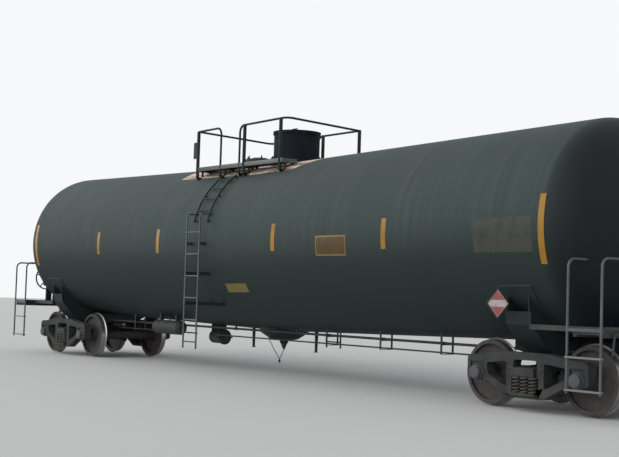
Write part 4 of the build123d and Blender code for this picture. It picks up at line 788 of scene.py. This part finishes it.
# %% Tape, panels and stencil grounds
def film(name, colour, dirt, gloss=0.35):
    """Film or paint with grime in blotches and scratches that run up and down."""
    f = Finish(name, coat_weight=0.04, specular_ior_level=0.2)
    grime = f.noise(5.0, 6, 0.65).rise(0.4, 0.75)
    base = f.colour(colour, dirt, grime * 0.45)
    scuff = f.noise(1.0, 5, 0.6, f.stretched((40.0, 3.0, 3.0))).rise(0.6, 0.75)
    base = f.colour(base, dirt, scuff * 0.4)
    f.feed("Base Color", base).feed("Roughness", gloss + grime * 0.3)
    return f.bump(f.noise(300.0, 2), 0.2, 0.0006)


yellow_tape = film("yellow tape", (0.32, 0.160, 0.014), (0.15, 0.090, 0.02))
sign_yellow = film("sign yellow", (0.165, 0.135, 0.042), (0.080, 0.070, 0.030))
panel_orange = film("panel orange", (0.078, 0.046, 0.013), (0.036, 0.030, 0.018))
panel_edge = film("panel edge", (0.22, 0.135, 0.045), (0.085, 0.065, 0.04))
stencil_grey = film("stencil grey", (0.047, 0.050, 0.041), (0.024, 0.028, 0.025), 0.6)


def patch(name, x0, x1, finish, side, heights=None, angles=None, lift=0.0016):
    """Thin plate bent to the tank: point = axis + (R + lift)(cos a, sin a), and 2 mm deeper behind.

    Its upper and lower edges are given as heights, or as angles from the level of the axis.
    """
    x = np.linspace(x0, x1, 5)[:, None]
    middle = axis_z + slope * np.abs(x)
    if heights:
        low, high = (np.arcsin((z - middle) / tank_radius) for z in heights)
    else:
        low, high = (np.radians(a) + 0 * x for a in angles)
    a = low + (high - low) * np.linspace(0, 1, 13)
    a = np.concatenate([a, a[:, ::-1]], axis=1)
    r = tank_radius + np.repeat([lift, -0.002], 13)
    points = np.stack([np.broadcast_to(x, a.shape), side * r * np.cos(a), middle + r * np.sin(a)], axis=-1)
    return Shape().grid(points, wrap_columns=True, caps=True).object(name, "car_body", finish)


tape_z, half_width, tall, short = 2.436, 0.051, 0.457, 0.2285
for side, name in ((-1, "near"), (1, "far")):
    s = -side
    for i, x in enumerate((-7.42, -4.47, -2.09, 1.64, 4.43, 7.50)):
        reach = tall if abs(x) > 7 else short
        heights = (tape_z - reach, tape_z + reach)
        patch(f"tape_{name}_{i}", s * x - half_width, s * x + half_width, yellow_tape, side, heights)
    for kind, ends, finish, heights, angles, lift in (
        ("sign", (0.02, 0.66), sign_yellow, None, (-34, -27.5), 0.003),
        ("panel_edge", (2.80, 3.55), panel_edge, (2.116, 2.436), None, 0.002),
        ("panel", (2.825, 3.525), panel_orange, (2.141, 2.411), None, 0.0032),
        ("stencil", (6.29, 7.34), stencil_grey, (2.136, 2.606), None, 0.0016),
    ):
        x0, x1 = sorted((s * ends[0], s * ends[1]))
        patch(f"{kind}_{name}", x0, x1, finish, side, heights, angles, lift)

# %% [markdown]
# ## Placard holders
# A square steel board, stood on one corner and held off the tank by two straps, takes the card that
# says what the car carries. It has a narrow lip round its edge. The card here is red with a white band
# across its middle, and blank. There is one on each side, towards opposite ends.

# %% Card and holder
card_x, card_z, board = 6.73, 1.451, 0.205
card_red = Finish("card red", coat_weight=0.2, roughness=0.4)
f = card_red
off_centre = abs(f.z - card_z)
fade = f.noise(14.0, 5).rise(0.4, 0.75)
white = f.colour((0.33, 0.31, 0.29), (0.21, 0.19, 0.17), fade)
red = f.colour((0.26, 0.024, 0.028), (0.15, 0.028, 0.028), fade)
rim = (off_centre + abs(abs(f.x) - card_x)).rise(0.1735, 0.1745)
card = f.colour(red, white, off_centre.fall(0.044, 0.047))
f.feed("Base Color", f.colour(card, (0.30, 0.25, 0.24), rim))


def on_point(x, y, z, half, thick):
    """Four corners of a square on its point, facing along Y, and how far it goes back."""
    return [(x, y, z - half), (x + half, y, z), (x, y, z + half), (x - half, y, z)], (0, thick, 0)


for name, s in (("near", 1), ("far", -1)):
    x, y, z = s * card_x, -s * 1.49, card_z
    holder = Shape()
    prism(holder, *on_point(x, y + s * 0.004, z, board, s * 0.004))
    corner, reach = np.array(on_point(x, y + s * 0.006, z, board, 0)[0]), 0.190 / board
    for a, b in zip(corner, np.roll(corner, -1, axis=0)):
        middle = np.array([x, y + s * 0.006, z])
        lip = [a, b, middle + (b - middle) * reach, middle + (a - middle) * reach]
        prism(holder, lip, (0, -s * 0.014, 0))
    for strap in (1.39, 1.51):
        inside = side_y(x, strap) - 0.02
        block(holder, (x - 0.02, y + s * 0.008, strap - 0.004), (x + 0.02, -s * inside, strap + 0.004))
        block(holder, (x - 0.02, y + s * 0.008, strap - 0.025), (x + 0.02, y + s * 0.014, strap + 0.025))
    holder.object(f"placard_holder_{name}", "car_body", frame_paint)
    plate = Shape()
    prism(plate, *on_point(x, y + s * 0.0045, z, 0.186, -s * 0.0025))
    plate.object(f"placard_{name}", "car_body", card_red)

# %% [markdown]
# ## Pipes and rods under the tank
# The air line and the brake pull rods run side by side, through straps bent to a U that hang from the
# tank. The line lies on a cross bar of each strap and the rod on its bottom. A rod ends in a clevis.

# %% Air line and pull rods
line_end, line_y, line_z, rod_y, rod_z = 8.56, -0.43, 0.816, -0.30, 0.666
line = Shape()
tube(line, [(-line_end, line_y, line_z), (line_end, line_y, line_z)], 0.021)


def near_end(side, *offsets):
    """Points given by how far each is past the line's end, and how far above the line."""
    return [(side * (line_end + past), line_y, line_z + above) for past, above in offsets]


for side in (-1, 1):
    collar = [(-0.005, 0.026), (0.0, 0.032), (0.09, 0.032), (0.095, 0.026)]
    turned(line, collar, near_end(side, (0, 0))[0], (side, 0, 0), 20)
    tube(line, near_end(side, (0.07, 0.01), (0.13, -0.08)), 0.026)
    tube(line, near_end(side, (0.045, 0.03), (0.045, 0.055), (-0.06, 0.06)), 0.007, 8)
bracket_x, strap_x = (-2.35, -0.95, 0.95), (-4.65, -3.25, 1.86, 3.25, 4.65)
for x in bracket_x:
    block(line, (x - 0.012, line_y - 0.012, line_z - 0.026), (x + 0.012, line_y + 0.012, 0.965))
for x in bracket_x + strap_x:
    for ring in (-0.022, 0.022):
        turned(line, [(-0.004, 0.027), (0.004, 0.027)], (x + ring, line_y, line_z), (1, 0, 0), 20)
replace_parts(line.object("air_line", "car_body", frame_paint, "frame_paint"), "brake_pipe")

rods = Shape()
box_low, box_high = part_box("brake_rods")
for x0, x1 in ((box_low[0], -2.5), (-1.79, box_high[0])):
    tube(rods, [(x0 + 0.05, rod_y, rod_z), (x1 - 0.05, rod_y, rod_z)], 0.013)
    for x in (x0, x1 - 0.07):
        for fork in (-0.013, 0.007):
            block(rods, (x, rod_y + fork, rod_z - 0.012), (x + 0.07, rod_y + fork + 0.006, rod_z + 0.012))
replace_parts(rods.object("pull_rods", "car_body", frame_paint, "frame_paint"), "brake_rods")

# %% Straps
def under_z(x, y):
    """How high the tank's underside is: the sloping axis, less the half height of the circle there."""
    return axis_z + slope * abs(x) - np.sqrt(tank_radius ** 2 - y ** 2)


straps = Shape()
far_leg, near_leg, thick, low = -0.494, -0.242, 0.008, rod_z - 0.021
for x in strap_x:
    far_top, near_top = (under_z(x, y) + 0.012 for y in (far_leg, near_leg))
    loop = [(far_leg, far_top), (far_leg, low), (near_leg, low), (near_leg, near_top),
            (near_leg - thick, near_top), (near_leg - thick, low + thick),
            (far_leg + thick, low + thick), (far_leg + thick, far_top)]
    prism(straps, [(x - 0.02, y, z) for y, z in loop], (0.04, 0, 0))
    block(straps, (x - 0.02, far_leg + thick - 0.001, line_z - 0.029),
          (x + 0.02, near_leg - thick + 0.001, line_z - 0.021))
straps.object("line_straps", "car_body", frame_paint)

# %% [markdown]
# ## The outlet and what guards it
# The load drains into a shallow bowl under the middle of the tank, and out through a nozzle with a cap.
# A post of T bar stands before and behind it, and takes the blow if the car derails. A plug hangs below
# on a chain, from the bowl and from the nozzle: each link is a flattened ring, a quarter turn from the
# last.

# %% Bowl and posts
bowl = Shape()
profile = [(0.0, 0.225), (0.004, 0.243), (0.012, 0.262), (0.110, 0.415), (0.135, 0.442), (0.160, 0.455),
           (0.240, 0.460)]
turned(bowl, profile, (0, 0, 0.661), (0, 0, 1), 64)
bowl.object("outlet_bowl", "car_body", tank_paint)

posts = Shape()
post_x, foot, tall = 0.95, 0.471, 0.39
web, flange = (-0.022, 0.022, 0.040, -0.030), (0.012, 0.022, 0.040, 0.030)
for side in (-1, 1):
    for outline, half_width in ((web, 0.005), (flange, 0.022)):
        loop = [(side * (post_x + x), -half_width, foot + z) for x, z in zip(outline, (0, 0, tall, tall))]
        prism(posts, loop, (0, 2 * half_width, 0))
    block(posts, (side * post_x - 0.03, -0.03, foot), (side * post_x + 0.03, 0.03, foot + 0.010))
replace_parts(posts.object("guard_posts", "car_body", frame_paint, "frame_paint"), "outlet_guards")

# %% Nozzle, plug and chain
nozzle = Shape()
profile = [(0.0, 0.014), (0.005, 0.022), (0.030, 0.030), (0.060, 0.044), (0.095, 0.053), (0.150, 0.053),
           (0.151, 0.068), (0.172, 0.068), (0.174, 0.060), (0.190, 0.060)]
turned(nozzle, profile, (0, 0, 0.481), (0, 0, 1), 40)
for a in np.radians([20, 140, 260]):
    x, y = 0.058 * np.cos(a), 0.058 * np.sin(a)
    block(nozzle, (x - 0.009, y - 0.009, 0.575), (x + 0.009, y + 0.009, 0.620))
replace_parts(nozzle.object("outlet_nozzle", "car_body", cast_iron, "frame_paint"), "bottom_outlet")


def hung(shape, start, end, sag, pitch=0.0245):
    """Links spaced evenly along a run: point = start + (end - start) t, lowered by 4 sag t (1 - t)."""
    start, end = np.asarray(start, float), np.asarray(end, float)
    count = int(np.linalg.norm(end - start) / pitch)
    t = (np.arange(count) + 0.5) / count
    centres = start + (end - start) * t[:, None] - np.outer(4 * sag * t * (1 - t), [0, 0, 1])
    along = unit(np.gradient(centres, axis=0))
    square = unit(np.cross(along, [0, 1.0, 0]))
    turn, s = (np.linspace(0, 2 * np.pi, n, endpoint=False) for n in (16, 6))
    bend, straight, wire = 0.009, 0.008, 0.0028
    wide, tall = bend * np.cos(turn), bend * np.sin(turn) + straight * np.sign(np.sin(turn))
    for i, (centre, tangent, across) in enumerate(zip(centres, along, square)):
        side = np.cross(tangent, across)
        if i % 2:
            across, side = side, -across
        ring = centre + wide[:, None] * across + tall[:, None] * tangent
        out = np.cross(unit(np.roll(ring, -1, axis=0) - np.roll(ring, 1, axis=0)), side)
        section = wire * (np.cos(s)[None, :, None] * out[:, None] + np.sin(s)[None, :, None] * side)
        shape.grid(ring[:, None] + section, wrap_rows=True, wrap_columns=True)
    return count


chain = Shape()
low_end = (-0.03, -0.07, 0.300)
links = hung(chain, (-0.17, -0.234, 0.685), low_end, 0.012)
links += hung(chain, low_end, (0.028, 0.0, 0.508), 0.006)
plug = [(0.0, 0.016), (0.004, 0.021), (0.046, 0.021), (0.05, 0.012), (0.056, 0.010), (0.062, 0.005)]
turned(chain, plug, (low_end[0], low_end[1], 0.236), (0, 0, 1), 20)
chain.object("plug_chain", "car_body", cast_iron, smooth=60)
print(links, "links")

# %% [markdown]
# ## Bolts and trim
# Heads of bolts say how big the car is. They hold the housing to its flange, the platforms and the
# strikers to the sills, the end caps to the axles, where they turn with the wheels, and the wear plates
# to the side frames. Each side of the top deck ends in a grey plate.

# %% Bolts
def seat(node, start, direction):
    """Point where a ray meets a solid, so that what is fixed there sits on it."""
    solid = nodes[node]
    corners = [solid.matrix_world @ v.co for v in solid.data.vertices]
    tree = BVHTree.FromPolygons(corners, [face.vertices[:] for face in solid.data.polygons])
    point = tree.ray_cast(Vector(start), Vector(direction))[0]
    assert point, (node, start)
    return tuple(point)


bolts = Shape()
housing_x, bolt_circle, flange_z, bolt_count, cap_circle = 0.2, 0.446, 4.021, 16, 0.050
for a in 2 * np.pi * (np.arange(bolt_count) + 0.5) / bolt_count:
    bolt(bolts, (housing_x + bolt_circle * np.cos(a), bolt_circle * np.sin(a), flange_z), (0, 0, 1))
for end, sign in car_ends:
    for y in (-1.35, -0.9, -0.45, 0.45, 0.9, 1.35):
        bolt(bolts, (sign * 8.17, y, end_deck_z), (0, 0, 1), 0.02, 0.008)
    for y in (-0.19, -0.10, 0.10, 0.19):
        for z in (0.74, 1.02):
            place = seat(f"stub_sill_{end}", (sign * 9.5, y, z), (-sign, 0, 0))
            bolt(bolts, place, (sign, 0, 0), 0.026)
bolts.object("body_bolts", "car_body", frame_paint)

for end, sign in car_ends:
    for number in "12":
        caps = Shape()
        low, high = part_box(f"axle_{end}{number}")
        x, z = (low[0] + high[0]) / 2, (low[2] + high[2]) / 2
        for side, face in ((-1, low[1]), (1, high[1])):
            for k in range(3):
                a = np.pi / 2 + 2 * np.pi * k / 3
                place = (x + cap_circle * np.cos(a), face - side * 0.0135, z + cap_circle * np.sin(a))
                bolt(caps, place, (0, side, 0), 0.028, 0.0125)
        caps.object(f"cap_bolts_{end}{number}", f"wheelset_{end}{number}", bearing_steel)
    studs = Shape()
    for side in (-1, 1):
        for column in (-1, 1):
            for z in (0.56, 0.64):
                start = (sign * truck_x + column * 0.29, side * 1.5, z)
                place = seat(f"side_frames_{end}", start, (0, -side, 0))
                bolt(studs, place, (0, side, 0), 0.024)
    studs.object(f"frame_bolts_{end}", f"truck_{end}", cast_iron)

# %% Plate at the end of the top deck
ends = Shape()
for side in (-1, 1):
    block(ends, (0.995, side * 0.59, deck_z - 0.070), (1.003, side * 0.932, deck_z + 0.004))
deck_ends = worn("scuffed grey", (0.075, 0.082, 0.078), (0.125, 0.135, 0.125), (0.08, 0.056, 0.04))
ends.object("deck_end_plates", "car_body", deck_ends)
